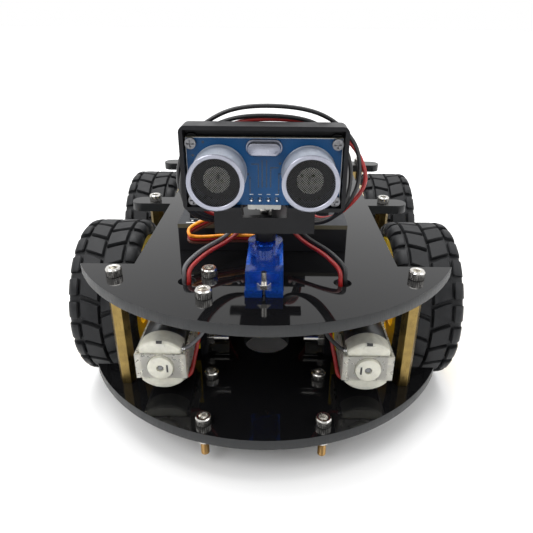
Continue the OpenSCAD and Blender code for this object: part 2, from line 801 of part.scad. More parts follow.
// USB socket and round power socket at the board's rear edge
module board_sockets() {
    usb_x = controller_x - 20;
    usb_wall = 1;
    color("silver") translate([usb_x, socket_rear, controller_top]) difference() {
        translate([-usb_size[0] / 2, -usb_size[1], 0]) cube(usb_size);
        block([usb_wall - usb_size[0] / 2, -8, usb_wall], [usb_size[0] / 2 - usb_wall, 1, usb_size[2] - usb_wall]);
    }
    color([0.09, 0.09, 0.1]) difference() {
        translate([jack_x - jack_size[0] / 2, socket_rear - jack_size[1], controller_top]) cube(jack_size);
        translate([jack_x, 0, jack_z]) bar_y(socket_rear - 9, socket_rear + 1, 3.1);
    }
}

module reset_button() {
    color([0.6, 0.1, 0.1]) translate([button_x, button_y, controller_top + button_floor + button_travel + 0.1])
        cylinder(r = button_r, h = 3.3);
}

// ---------- Power ----------

module cell_spots() {
    for (s = [-1, 1]) translate([0, holder_y + s * cell_pitch / 2, upper_top + holder_floor + cell_d / 2]) children();
}

module battery_holder() {
    half_w = holder_w / 2;
    half_l = holder_l / 2;
    color([0.08, 0.08, 0.09]) difference() {
        translate([0, holder_y, upper_top]) block([-half_w, -half_l, 0], [half_w, half_l, holder_h]);
        translate([0, holder_y, upper_top]) block([holder_end - half_w, holder_side - half_l, holder_floor],
            [half_w - holder_end, half_l - holder_side, holder_h + 1]);
    }
}

module battery_cells() {
    color([0.2, 0.45, 0.7]) cell_spots() {
        bar_x(-cell_l / 2, cell_l / 2, cell_d / 2);
        bar_x(cell_l / 2, cell_l / 2 + cell_tip_l, cell_tip_r);
    }
}

module switch_body() {
    color([0.08, 0.08, 0.09]) translate([switch_x, switch_y, 0]) difference() {
        union() {
            block([-7.5, -5.3, upper_top], [7.5, 5.3, upper_top + bezel_h]);
            block([-6.6, -4.1, upper_top - switch_depth], [6.6, 4.1, upper_top]);
        }
        block([-5.8, -3.3, upper_top - 5], [5.8, 3.3, upper_top + bezel_h + 1]);
        translate([0, 0, rocker_z]) bar_y(-4, 4, rocker_pin_r + running_gap);
    }
}

// The rocker rests tilted to one side and turns about its pin
module switch_rocker() {
    color([0.7, 0.1, 0.1]) translate([switch_x, switch_y, rocker_z]) rotate([0, -rocker_tilt, 0]) {
        rotate([90, 0, 0]) linear_extrude(6, center = true)
            polygon([[-4.8, 1.4], [0, 0.8], [4.8, 1.4], [4.4, -1], [0, -2], [-4.4, -1]]);
        bar_y(-3.9, 3.9, rocker_pin_r);
    }
}

// ---------- Cables ----------

module servo_cable() {
    color([0.9, 0.5, 0.1]) wire(servo_cable_route, 1.8, 0.6, [0.3, -1, 0.9]);
}

module sensor_cable() {
    color([0.1, 0.1, 0.1]) wire(sensor_cable_route, 1.6, 1.6, [0.3, 1, 0.1]);
}

// Leads of the four motors, the power switch and the battery
module power_leads() {
    color([0.7, 0.1, 0.1]) {
        both_sides() wire(front_lead_route, lead_r, lead_r, [0.2, 1, 0.1]);
        both_sides() wire(rear_lead_route, lead_r, lead_r, [0.2, 1, 0.1]);
        wire(switch_lead_route, lead_r, lead_r, [1, 0.1, 0.1]);
        wire(battery_lead_route, lead_r, lead_r, [1, 0.1, 0.1]);
    }
}

lower_deck();
upper_deck();
standoffs();
standoff_screws();
front_screws();
front_nuts();
deck_screws();
deck_nuts();
motor_brackets();
motor_screws();
motor_nuts();
motor_straps();
for (c = corners) gearbox(c);
for (c = corners) motor_can(c);
for (c = corners) motor_cap(c);
for (c = corners) drive_shaft(c);
for (c = corners) wheel_rim(c);
for (c = corners) tyre(c);
servo_case();
servo_screws();
servo_nuts();
servo_horn();
horn_screw();
sensor_bracket();
sensor_board();
sensor_cans();
sensor_grilles();
crystal_can();
sensor_header();
sensor_screws();
board_tray();
controller_board();
board_headers();
board_sockets();
reset_button();
battery_holder();
battery_cells();
switch_body();
switch_rocker();
servo_cable();
sensor_cable();
power_leads();
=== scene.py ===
"""Looks of a four-wheel robot car: detailed pieces, materials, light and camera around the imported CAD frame.

X points right, Y to the rear, Z up. Shapes are in millimetres and turn into metres when a piece is made.
"""
import math

import bmesh
import bpy
from mathutils import Matrix, Vector


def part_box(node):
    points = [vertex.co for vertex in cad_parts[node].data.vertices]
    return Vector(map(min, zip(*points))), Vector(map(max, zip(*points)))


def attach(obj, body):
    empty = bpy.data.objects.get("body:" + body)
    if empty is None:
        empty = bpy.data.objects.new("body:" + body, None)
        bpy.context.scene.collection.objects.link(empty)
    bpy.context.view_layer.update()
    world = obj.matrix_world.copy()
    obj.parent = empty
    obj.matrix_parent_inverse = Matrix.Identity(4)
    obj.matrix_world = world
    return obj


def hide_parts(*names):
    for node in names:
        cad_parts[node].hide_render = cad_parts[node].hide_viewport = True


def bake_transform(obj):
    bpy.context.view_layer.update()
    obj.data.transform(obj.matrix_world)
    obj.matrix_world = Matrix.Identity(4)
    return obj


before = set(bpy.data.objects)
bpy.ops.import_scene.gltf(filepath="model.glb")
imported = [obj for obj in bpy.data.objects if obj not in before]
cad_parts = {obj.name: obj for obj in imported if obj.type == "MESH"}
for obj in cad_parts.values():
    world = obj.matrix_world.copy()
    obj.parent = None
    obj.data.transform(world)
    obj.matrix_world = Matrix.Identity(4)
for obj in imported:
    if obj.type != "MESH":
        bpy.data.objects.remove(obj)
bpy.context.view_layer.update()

MM = 0.001
CORNERS = {"fl": -1, "fr": 1, "rl": -1, "rr": 1}
PIN_PITCH = 2.54
PIN_XS = [(k - 1.5) * PIN_PITCH for k in range(4)]
SCREW_HEAD_R = 2.75
NOSE_SCREW_X = 20.3
HEAD_SCREW_ANGLE = 28


# ---------- Shapes, in millimetres ----------

class Shape:
    """Points and faces in millimetres, with a material number for each face."""

    def __init__(self):
        self.points = []
        self.faces = []
        self.marks = []

    def add(self, solid, place=Matrix(), mark=0):
        points, faces = solid
        start = len(self.points)
        self.points += [place @ Vector(p) for p in points]
        self.faces += [[start + i for i in face] for face in faces]
        self.marks += [mark] * len(faces)
        return self


def at(x, y, z, toward=(0, 0, 1), turn=0):
    """A place whose own Z axis points toward a direction, turned about it by some degrees."""
    aim = Vector(toward).to_track_quat("Z", "Y").to_matrix().to_4x4()
    return Matrix.Translation((x, y, z)) @ aim @ Matrix.Rotation(math.radians(turn), 4, "Z")


def loft(rings, wrap=False):
    """A skin through rings of equal length; it closes on itself with wrap, else flat ends close it."""
    n = len(rings[0])
    points = [p for ring in rings for p in ring]
    faces = []
    steps = len(rings) if wrap else len(rings) - 1
    for a in range(steps):
        b = (a + 1) % len(rings)
        for k in range(n):
            m = (k + 1) % n
            faces.append([a * n + k, a * n + m, b * n + m, b * n + k])
    if not wrap:
        last = (len(rings) - 1) * n
        faces += [list(range(n - 1, -1, -1)), [last + k for k in range(n)]]
    return points, faces


def ring(radius, z, n=32):
    """A level circle; radius may be a function of the angle."""
    points = []
    for k in range(n):
        a = math.tau * k / n
        r = radius(a) if callable(radius) else radius
        points.append((r * math.cos(a), r * math.sin(a), z))
    return points


def lathe(profile, n=32, wrap=False):
    """A turned solid from (radius, height) pairs."""
    return loft([ring(r, z, n) for r, z in profile], wrap)


def box(low, high):
    x0, y0, z0 = low
    x1, y1, z1 = high
    bottom = [(x0, y0, z0), (x1, y0, z0), (x1, y1, z0), (x0, y1, z0)]
    top = [(x, y, z1) for x, y, _ in bottom]
    return loft([bottom, top])


def prism(outline, z0, z1):
    return loft([[(x, y, z0) for x, y in outline], [(x, y, z1) for x, y in outline]])


def hexagon(af):
    """Radius of a hexagon with that size across flats, as a function of the angle."""
    return lambda a: af / 2 / math.cos((a + math.pi / 6) % (math.pi / 3) - math.pi / 6)


def square(half):
    """Radius of a square with that half width, as a function of the angle."""
    return lambda a: half / max(abs(math.cos(a)), abs(math.sin(a)))


def smooth(route, steps=6):
    """A finer route on a smooth curve through the route's points."""
    p = [Vector(v) for v in route]
    p = [2 * p[0] - p[1]] + p + [2 * p[-1] - p[-2]]
    out = []
    for i in range(1, len(p) - 2):
        a, b, c, d = p[i - 1:i + 3]
        for s in range(steps):
            t = s / steps
            out.append(0.5 * (2 * b + (c - a) * t + (2 * a - 5 * b + 4 * c - d) * t ** 2
                              + (3 * b - a - 3 * c + d) * t ** 3))
    return out + [p[-2]]


def frames(path, start_side):
    """A point, a side direction and an up direction at each step of a path, without twist."""
    side = Vector(start_side)
    out = []
    for i, point in enumerate(path):
        ahead = (path[min(i + 1, len(path) - 1)] - path[max(i - 1, 0)]).normalized()
        side = (side - ahead * side.dot(ahead)).normalized()
        out.append((point, side, ahead.cross(side)))
    return out


def tube(path, radius, sides=10, start_side=(1, 0, 0.1)):
    rings = []
    for point, side, up in frames(path, start_side):
        turns = [math.tau * k / sides for k in range(sides)]
        rings.append([point + radius * (side * math.cos(a) + up * math.sin(a)) for a in turns])
    return loft(rings)


# ---------- Materials ----------

class Finish:
    """A Principled material and short ways to add nodes to it."""

    def __init__(self, name, colour, roughness, metallic=0.0, **sockets):
        self.material = bpy.data.materials.new(name)
        self.material.use_nodes = True
        self.nodes = self.material.node_tree.nodes
        self.links = self.material.node_tree.links
        self.shader = self.nodes["Principled BSDF"]
        self.set("Base Color", (*colour, 1))
        self.set("Roughness", roughness)
        self.set("Metallic", metallic)
        for socket, value in sockets.items():
            self.set(socket.replace("_", " "), value)
        self.colour = (*colour, 1)
        self.coordinates = self.node("ShaderNodeTexCoord")

    def set(self, socket, value):
        self.shader.inputs[socket].default_value = value

    def node(self, kind, inputs=(), **settings):
        node = self.nodes.new(kind)
        for name, value in settings.items():
            setattr(node, name, value)
        for key, value in dict(inputs).items():
            if isinstance(value, bpy.types.NodeSocket):
                self.links.new(value, node.inputs[key])
            else:
                node.inputs[key].default_value = value
        return node

    def mapped(self, scale=(1, 1, 1), turn=(0, 0, 0)):
        """Object coordinates in millimetres, stretched and turned."""
        vector = self.coordinates.outputs["Object"]
        inputs = {"Vector": vector, "Scale": tuple(1000 * s for s in scale), "Rotation": turn}
        return self.node("ShaderNodeMapping", inputs).outputs["Vector"]

    def noise(self, size, detail=3.0, stretch=(1, 1, 1), roughness=0.55):
        """Noise with spots of about that size in millimetres."""
        vector = self.mapped(tuple(s / size for s in stretch))
        inputs = {"Vector": vector, "Scale": 1.0, "Detail": detail, "Roughness": roughness}
        return self.node("ShaderNodeTexNoise", inputs).outputs["Fac"]

    def remap(self, value, low, high, out_low=0.0, out_high=1.0):
        inputs = {"Value": value, "From Min": low, "From Max": high, "To Min": out_low, "To Max": out_high}
        return self.node("ShaderNodeMapRange", inputs).outputs["Result"]

    def math(self, operation, a, b=0.0):
        return self.node("ShaderNodeMath", {0: a, 1: b}, operation=operation).outputs[0]

    def mix(self, factor, a, b):
        """A colour between a and b, which are colours or sockets."""
        node = self.node("ShaderNodeMix", data_type="RGBA")
        for key, value in (("Factor", factor), ("A", a), ("B", b)):
            kind = "VALUE" if key == "Factor" else "RGBA"
            socket = next(s for s in node.inputs if s.name == key and s.type == kind)
            if isinstance(value, bpy.types.NodeSocket):
                self.links.new(value, socket)
            else:
                socket.default_value = value if key == "Factor" else (*value[:3], 1)
        return next(s for s in node.outputs if s.type == "RGBA")

    def link(self, value, socket):
        self.links.new(value, self.shader.inputs[socket])
        return self

    def bump(self, height, distance, strength=1.0):
        """Surface relief of that height in millimetres."""
        inputs = {"Height": height, "Distance": distance * MM, "Strength": strength}
        self.links.new(self.node("ShaderNodeBump", inputs).outputs["Normal"], self.shader.inputs["Normal"])
        return self

    def speckle(self, size, spread, dark=0.8, light=1.15):
        """Colour that varies a little in spots of that size, and roughness with it."""
        value = self.noise(size)
        low = [c * dark for c in self.colour]
        high = [min(1, c * light) for c in self.colour]
        self.link(self.mix(self.remap(value, 0.3, 0.7), low, high), "Base Color")
        base = self.shader.inputs["Roughness"].default_value
        self.link(self.remap(value, 0.3, 0.7, max(0.02, base - spread), base + spread), "Roughness")
        return self

    def normal_part(self, axis):
        """How much the surface faces along an axis of its own, from 0 to 1."""
        parts = self.node("ShaderNodeSeparateXYZ", {0: self.coordinates.outputs["Normal"]})
        return self.math("ABSOLUTE", parts.outputs[axis])


def deck_acrylic():
    """Polished black acrylic whose cut edges are greyer, matt and finely ribbed."""
    f = Finish("deck_acrylic", (0.006, 0.006, 0.0065), 0.04, IOR=1.4)
    face = f.remap(f.normal_part("Z"), 0.4, 0.8)
    dust = f.remap(f.noise(0.5, 2), 0.74, 0.8)
    face_colour = f.mix(dust, (0.005, 0.005, 0.0055), (0.035, 0.035, 0.035))
    ribs = f.noise(0.5, 3, (1, 1, 0.05))
    edge_colour = f.mix(ribs, (0.008, 0.0085, 0.009), (0.022, 0.0235, 0.025))
    f.link(f.mix(face, edge_colour, face_colour), "Base Color")
    smudge = f.remap(f.noise(14, 4), 0.45, 0.75, 0.035, 0.09)
    edge_roughness = f.remap(ribs, 0.3, 0.7, 0.38, 0.55)
    rough = f.node("ShaderNodeMix", {0: face, 2: edge_roughness, 3: smudge}).outputs[0]
    f.link(rough, "Roughness")
    relief = f.math("MULTIPLY", ribs, f.math("SUBTRACT", 1.0, face))
    return f.bump(relief, 0.12).material


def moulded(name, colour, roughness=0.4, grain=0.35, relief=0.02, **sockets):
    """Moulded plastic with a fine grain."""
    f = Finish(name, colour, roughness, **sockets)
    f.speckle(6, 0.05, 0.85, 1.12)
    return f.bump(f.noise(grain, 2), relief).material


def brass():
    """Turned brass bar with drawn lines along it and a few dull spots."""
    f = Finish("brass", (0.78, 0.57, 0.22), 0.3, 1.0)
    lines = f.noise(0.35, 4, (1, 1, 0.08))
    dull = f.remap(f.noise(4, 4), 0.35, 0.7)
    bright = f.mix(lines, (0.19, 0.13, 0.038), (0.35, 0.25, 0.09))
    f.link(f.mix(dull, bright, (0.18, 0.125, 0.045)), "Base Color")
    f.link(f.remap(lines, 0.3, 0.7, 0.24, 0.42), "Roughness")
    return f.bump(lines, 0.03).material


def plated(name="nickel", colour=(0.76, 0.74, 0.7), roughness=0.2):
    """Plated steel with faint handling marks."""
    f = Finish(name, colour, roughness, 1.0)
    marks = f.noise(0.6, 5)
    f.link(f.mix(f.remap(marks, 0.4, 0.75), colour, tuple(c * 0.82 for c in colour)), "Base Color")
    f.link(f.remap(marks, 0.3, 0.7, roughness * 0.85, roughness * 1.3), "Roughness")
    return f.bump(f.noise(0.25, 3), 0.008).material


def brushed(name, colour, roughness, stretch, metallic=1.0):
    """Drawn or brushed sheet metal, its lines running along the axis with the small stretch."""
    f = Finish(name, colour, roughness, metallic)
    lines = f.noise(0.4, 4, stretch)
    clouds = f.remap(f.noise(3, 4), 0.35, 0.7)
    base = f.mix(lines, tuple(c * 0.75 for c in colour), tuple(min(1, c * 1.15) for c in colour))
    f.link(f.mix(clouds, base, tuple(c * 0.85 for c in colour)), "Base Color")
    f.link(f.remap(lines, 0.3, 0.7, roughness * 0.75, roughness * 1.3), "Roughness")
    return f.bump(lines, 0.015).material


def rubber():
    """Moulded tyre rubber with fine mould lines and a dusty bloom."""
    f = Finish("tyre_rubber", (0.013, 0.0135, 0.0145), 0.5, Specular_IOR_Level=0.22)
    bloom = f.remap(f.noise(3.5, 5), 0.35, 0.7)
    f.link(f.mix(bloom, (0.009, 0.0094, 0.0105), (0.018, 0.0186, 0.02)), "Base Color")
    f.link(f.remap(bloom, 0, 1, 0.42, 0.62), "Roughness")
    grain = f.math("ADD", f.noise(0.3, 3), f.noise(0.25, 2, (0.15, 1, 1)))
    return f.bump(grain, 0.03).material


def nylon(name="motor_nylon", colour=(0.6, 0.59, 0.51)):
    """Milky natural nylon that light goes a little way into."""
    f = Finish(name, colour, 0.36, Subsurface_Weight=0.35, Subsurface_Scale=0.0015)
    f.set("Subsurface Radius", (1.0, 0.9, 0.7))
    clouds = f.remap(f.noise(2.5, 5), 0.3, 0.72)
    dark = tuple(c * 0.85 for c in colour)
    light = tuple(min(1, c * 1.1) for c in colour)
    f.link(f.mix(clouds, dark, light), "Base Color")
    return f.bump(f.noise(0.5, 3), 0.02).material


def clear(name, colour, roughness, weight, **sockets):
    """See-through moulded plastic with slight waves in its surface."""
    f = Finish(name, colour, roughness, IOR=1.46, Transmission_Weight=weight, **sockets)
    f.link(f.remap(f.noise(2, 4), 0.3, 0.7, roughness * 0.7, roughness * 1.5), "Roughness")
    return f.bump(f.noise(3, 2), 0.02).material


def circuit_board(name, mask, edge, thin_axis):
    """Solder mask on both faces, with bare laminate showing at the cut edges."""
    f = Finish(name, mask, 0.36, Specular_IOR_Level=0.25)
    weave = f.noise(0.4, 2)
    face = f.remap(f.normal_part(thin_axis), 0.4, 0.8)
    mottled = f.mix(weave, tuple(c * 0.85 for c in mask), tuple(c * 1.15 for c in mask))
    f.link(f.mix(face, edge, mottled), "Base Color")
    f.link(f.remap(f.noise(5, 3), 0.3, 0.7, 0.3, 0.44), "Roughness")
    return f.bump(weave, 0.012).material


def vinyl(name, colour, roughness=0.38):
    """Soft wire insulation, slightly uneven."""
    f = Finish(name, colour, roughness)
    f.speckle(2.5, 0.07, 0.8, 1.25)
    return f.bump(f.noise(0.8, 3), 0.03).material


def cell_wrap():
    """Shrink sleeve with a soft sheen and fine wrinkles near its ends."""
    f = Finish("cell_sleeve", (0.03, 0.16, 0.38), 0.28, Coat_Weight=0.2)
    wrinkles = f.noise(1.2, 4, (0.25, 1, 1))
    f.link(f.mix(wrinkles, (0.02, 0.12, 0.3), (0.05, 0.22, 0.48)), "Base Color")
    return f.bump(wrinkles, 0.04).material


def make_materials():
    return {
        "deck": deck_acrylic(),
        "brass": brass(),
        "nickel": plated(),
        "zinc": plated("yellow_zinc", (0.36, 0.22, 0.085), 0.34),
        "tin": plated("tin", (0.6, 0.6, 0.61), 0.26),
        "bracket": moulded("motor_bracket_acrylic", (0.012, 0.012, 0.014), 0.12, 0.6, 0.01),
        "strap": clear("strap_clear", (0.9, 0.88, 0.8), 0.3, 0.7),
        "yellow": moulded("yellow_abs", (0.86, 0.6, 0.015), 0.35, 0.5, 0.02, Subsurface_Weight=0.08,
                          Subsurface_Scale=0.001),
        "can": brushed("motor_can_zinc", (0.2, 0.205, 0.21), 0.4, (1, 0.1, 1)),
        "nylon": nylon(),
        "shaft": nylon("shaft_nylon", (0.7, 0.7, 0.66)),
        "tyre": rubber(),
        "servo": clear("servo_blue", (0.015, 0.14, 0.75), 0.12, 0.78),
        "black": moulded("black_abs", (0.009, 0.009, 0.011), 0.38, 0.4, 0.02, Specular_IOR_Level=0.3),
        "satin": moulded("bracket_black", (0.0065, 0.0065, 0.008), 0.38, 0.5, 0.015, Specular_IOR_Level=0.2),
        "blue_board": circuit_board("sensor_mask", (0.0, 0.052, 0.16), (0.5, 0.46, 0.33), "Y"),
        "dark_board": circuit_board("controller_mask", (0.008, 0.01, 0.014), (0.1, 0.09, 0.06), "Z"),
        "board_screw": plated("board_screw", (0.2, 0.2, 0.21), 0.36),
        "trace": moulded("trace_mask", (0.0, 0.018, 0.05), 0.28, 0.4, 0.01),
        "aluminium": brushed("can_aluminium", (0.4, 0.43, 0.49), 0.45, (1, 0.12, 1), 0.5),
        "rim_metal": brushed("can_rim", (0.34, 0.35, 0.41), 0.34, (1, 1, 1)),
        "mesh": plated("grille_wire", (0.035, 0.035, 0.036), 0.4),
        "cone": moulded("transducer_cone", (0.75, 0.75, 0.7), 0.35, 0.4, 0.02),
        "pale": moulded("header_white", (0.45, 0.45, 0.43), 0.4, 0.4, 0.01),
        "silk": moulded("silkscreen", (0.55, 0.56, 0.55), 0.6, 0.4, 0.005),
        "socket": plated("socket_shell", (0.68, 0.68, 0.67), 0.26),
        "red": moulded("red_abs", (0.5, 0.02, 0.015), 0.3),
        "cell": cell_wrap(),
        "orange_wire": vinyl("orange_vinyl", (0.85, 0.28, 0.01)),
        "red_wire": vinyl("red_vinyl", (0.26, 0.008, 0.007)),
        "brown_wire": vinyl("brown_vinyl", (0.085, 0.022, 0.012)),
        "black_wire": vinyl("black_vinyl", (0.009, 0.009, 0.01)),
        "grey_wire": vinyl("grey_vinyl", (0.09, 0.09, 0.095)),
        "epoxy": moulded("chip_epoxy", (0.015, 0.015, 0.016), 0.5, 0.3, 0.02),
    }


MATERIALS = make_materials()


# ---------- Making pieces ----------

def piece(name, shape, body, materials, bevel=0.0, replaces=(), angle=35):
    """Turns a shape into an object that rides on a body; body None leaves it free for a blend."""
    mesh = bpy.data.meshes.new(name)
    mesh.from_pydata([Vector(p) * MM for p in shape.points], [], shape.faces)
    for material in [materials] if isinstance(materials, str) else materials:
        mesh.materials.append(MATERIALS[material])
    mesh.polygons.foreach_set("material_index", shape.marks)
    work = bmesh.new()
    work.from_mesh(mesh)
    bmesh.ops.recalc_face_normals(work, faces=work.faces)
    work.to_mesh(mesh)
    work.free()
    mesh.shade_smooth()
    mesh.set_sharp_from_angle(angle=math.radians(angle))
    obj = bpy.data.objects.new(name, mesh)
    bpy.context.scene.collection.objects.link(obj)
    if bevel:
        add_bevel(obj, bevel)
    if body:
        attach(obj, body)
    if replaces:
        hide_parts(*([replaces] if isinstance(replaces, str) else replaces))
    return obj


def add_bevel(obj, width, segments=2):
    modifier = obj.modifiers.new("edges", "BEVEL")
    modifier.width = width * MM
    modifier.segments = segments
    modifier.limit_method = "ANGLE"
    modifier.angle_limit = math.radians(40)
    modifier.miter_outer = "MITER_ARC"
    modifier.harden_normals = True


def dress(node, material, bevel=0.0):
    """Gives a CAD node its finish and, where it helps, softly rounded edges."""
    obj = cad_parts[node]
    for slot in obj.material_slots:
        slot.material = MATERIALS[material]
    if bevel:
        weld = obj.modifiers.new("joined", "WELD")
        weld.merge_threshold = 1e-6
        add_bevel(obj, bevel)


def low(node):
    return [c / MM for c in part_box(node)[0]]


def high(node):
    return [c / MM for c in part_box(node)[1]]


def middle(node):
    return [(a + b) / 2 for a, b in zip(low(node), high(node))]


# ---------- Tyres ----------

TYRE_R = 32.5
TYRE_W = 26.0
LUGS = 22
LUG_PITCH = math.tau * TYRE_R / LUGS


def on_tyre(x, s, r):
    """A point of the tyre: x across it from its inner side, s along the tread, r from the axle."""
    a = s / TYRE_R
    return (x, r * math.cos(a), r * math.sin(a))


def tread_block(outline):
    """A raised block with a chamfered top; the outline is (x, s) points."""
    cx = sum(x for x, _ in outline) / len(outline)
    cs = sum(s for _, s in outline) / len(outline)

    def level(r, shrink):
        return [on_tyre(cx + (x - cx) * shrink, cs + (s - cs) * shrink, r) for x, s in outline]

    return loft([level(30.4, 1.03), level(31.9, 1.0), level(32.42, 0.9)])


def shoulder_lug(s0, length):
    """A rounded lug that wraps from the tread over the shoulder."""
    profile = [(4.7, 30.4), (4.7, 32.0), (4.3, 32.4), (3.0, 32.3), (1.9, 31.9), (0.9, 30.9), (0.3, 29.4),
               (0.15, 27.6), (0.7, 27.4), (1.6, 29.6)]
    cx, cr = 2.6, 30.4
    rings = []
    for along, shrink in ((0, 0.86), (0.45, 1.0), (length / 2, 1.0), (length - 0.45, 1.0), (length, 0.86)):
        rings.append([on_tyre(cx + (x - cx) * shrink, s0 + along, cr + (r - cr) * shrink)
                      for x, r in profile])
    return loft(rings)


def tyre_shape():
    shape = Shape()
    half = [(1.4, 26.05), (0.55, 26.9), (0.3, 27.3), (0.55, 27.9), (0.45, 28.6), (0.8, 29.6), (1.7, 30.3),
            (3.4, 30.7), (5.2, 30.8)]
    profile = half + [(TYRE_W - x, r) for x, r in reversed(half)]
    turn = Matrix.Rotation(math.radians(90), 4, "Y")
    shape.add(lathe([(r, x) for x, r in profile], 88, wrap=True), turn)
    mirror = Matrix.Translation((TYRE_W, 0, 0)) @ Matrix.Scale(-1, 4, (1, 0, 0))
    for k in range(LUGS):
        s = k * LUG_PITCH
        block = [(5.6, s), (9.0, s + 1.0), (12.6, s + 2.6), (12.6, s + 5.6), (12.6, s + 10.2), (9.0, s + 8.9),
                 (5.6, s + 7.7), (5.6, s + 3.8)]
        other = [(x, p + LUG_PITCH / 2) for x, p in block]
        shape.add(tread_block(block))
        shape.add(tread_block(other), mirror)
        shape.add(shoulder_lug(s + 1.2, 6.6))
        shape.add(shoulder_lug(s + 1.2 + LUG_PITCH / 2, 6.6), mirror)
    return shape


def make_tyres():
    for corner, side in CORNERS.items():
        node = "tyre_" + corner
        inner = low(node)[0] if side > 0 else high(node)[0]
        _, y, z = middle(node)
        source = tyre_shape()
        flip = Matrix.Scale(side, 4, (1, 0, 0))
        shape = Shape().add((source.points, source.faces), Matrix.Translation((inner, y, z)) @ flip)
        piece("tyre_tread_" + corner, shape, "wheel_" + corner, "tyre", replaces=node, angle=40)


# ---------- Fasteners ----------

def cap_screw(length, threads=False):
    """Socket-head cap screw on Z = 0: knurled head with a bright rim, shank downwards."""
    ridges = 30
    n = 2 * ridges

    def knurl(a):
        return SCREW_HEAD_R if round(a / math.tau * n) % 2 else 2.62

    head = [(2.5, 0), (2.62, 0.12), (knurl, 0.3), (knurl, 2.55), (2.6, 2.68), (2.35, 3.0), (1.72, 3.0),
            (hexagon(2.6), 2.88), (hexagon(2.5), 1.4), (0.4, 1.1)]
    shape = Shape().add(lathe(head, n))
    profile = [(1.45, 0.1)]
    if threads:
        z = -deck_thickness() - 4
        profile += [(1.45, z)]
        while z > 0.9 - length:
            profile += [(1.27, z - 0.15), (1.47, z - 0.38)]
            z -= 0.5
        profile += [(1.3, z - 0.1), (1.0, -length + 0.25), (0.55, -length)]
    else:
        profile += [(1.45, -length)]
    return shape.add(lathe(profile, 24), mark=1)


def deck_thickness():
    return high("upper_deck")[2] - low("upper_deck")[2]


def standoff_spots():
    """Middles of the pillars, from the boxes of the node's separate bars."""
    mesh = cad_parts["standoffs"].data
    spots = []
    for vertex in mesh.vertices:
        x, y = vertex.co.x / MM, vertex.co.y / MM
        near = [s for s in spots if math.hypot(s[0][0] - x, s[0][1] - y) < 8]
        if near:
            near[0].append((x, y))
        else:
            spots.append([(x, y)])
    centres = []
    for group in spots:
        xs, ys = zip(*group)
        centres.append(((min(xs) + max(xs)) / 2, (min(ys) + max(ys)) / 2))
    return centres


def end_rows(node, inset):
    """The front and rear rows of a node's fasteners, inset from its box."""
    return low(node)[1] + inset, high(node)[1] - inset


def make_screws():
    top = high("upper_deck")[2]
    bottom = low("lower_deck")[2]
    lower_top = high("lower_deck")[2]
    pillars = Shape()
    source = cap_screw(9.5)
    for k, (x, y) in enumerate(standoff_spots()):
        add_marked(pillars, source, at(x, y, top, (0, 0, 1), 37 * k))
        add_marked(pillars, source, at(x, y, bottom, (0, 0, -1), 23 * k))
    nose = Shape()
    for k, y in enumerate(end_rows("front_screws", SCREW_HEAD_R)):
        source = cap_screw(14 if k == 0 else 9.9, threads=k == 0)
        for side in (-1, 1):
            add_marked(nose, source, at(side * NOSE_SCREW_X, y, lower_top, (0, 0, 1), 17 * k + 40 * side))
    extra = Shape()
    x = middle("deck_screws")[0]
    for k, y in enumerate(end_rows("deck_screws", SCREW_HEAD_R)):
        add_marked(extra, cap_screw(8), at(x, y, top, (0, 0, 1), 11 + 29 * k))
    for name, shape, shank, node in (("pillar_screws", pillars, "nickel", "standoff_screws"),
                                     ("nose_screws", nose, "zinc", "front_screws"),
                                     ("deck_cap_screws", extra, "nickel", "deck_screws")):
        piece(name, shape, "chassis", ["nickel", shank], replaces=node, angle=HEAD_SCREW_ANGLE)


def add_marked(shape, source, place):
    """Adds another shape with its own material numbers."""
    start = len(shape.points)
    shape.points += [place @ Vector(p) for p in source.points]
    shape.faces += [[start + i for i in face] for face in source.faces]
    shape.marks += source.marks


def make_lock_nuts():
    """Nuts with a white nylon collar under the nose."""
    shape = Shape()
    z0, z1 = low("front_nuts")[2], high("front_nuts")[2]
    n = 36
    tall = z1 - z0
    body = [(hexagon(5.1), 0), (hexagon(5.5), 0.25), (hexagon(5.5), 2.5), (2.65, 2.75), (2.55, tall - 0.3),
            (2.3, tall - 0.02), (2.1, tall - 0.1), (2.1, 0)]
    collar = [(2.1, 2.2), (2.1, tall - 0.25), (1.55, tall - 0.4), (1.5, 2.2)]
    for y in end_rows("front_nuts", 3.0):
        for side in (-1, 1):
            place = at(side * NOSE_SCREW_X, y, z1, (0, 0, -1))
            shape.add(lathe(body, n, wrap=True), place)
            shape.add(lathe(collar, n, wrap=True), place, mark=1)
    piece("nose_lock_nuts", shape, "chassis", ["nickel", "nylon"], replaces="front_nuts")


# ---------- Motors ----------

def can_outline(half_w, r, n=12):
    """Round above and below, flat on both sides."""
    a0 = math.acos(half_w / r)
    points = []
    for base in (math.pi / 2, 3 * math.pi / 2):
        span = math.pi - 2 * a0
        for k in range(n + 1):
            a = base - span / 2 + span * k / n
            points.append((r * math.cos(a), r * math.sin(a)))
    return points


def outline_ring(outline, z, inset=0.0):
    size = max(math.hypot(x, y) for x, y in outline)
    shrink = 1 - inset / size
    return [(x * shrink, y * shrink, z) for x, y in outline]


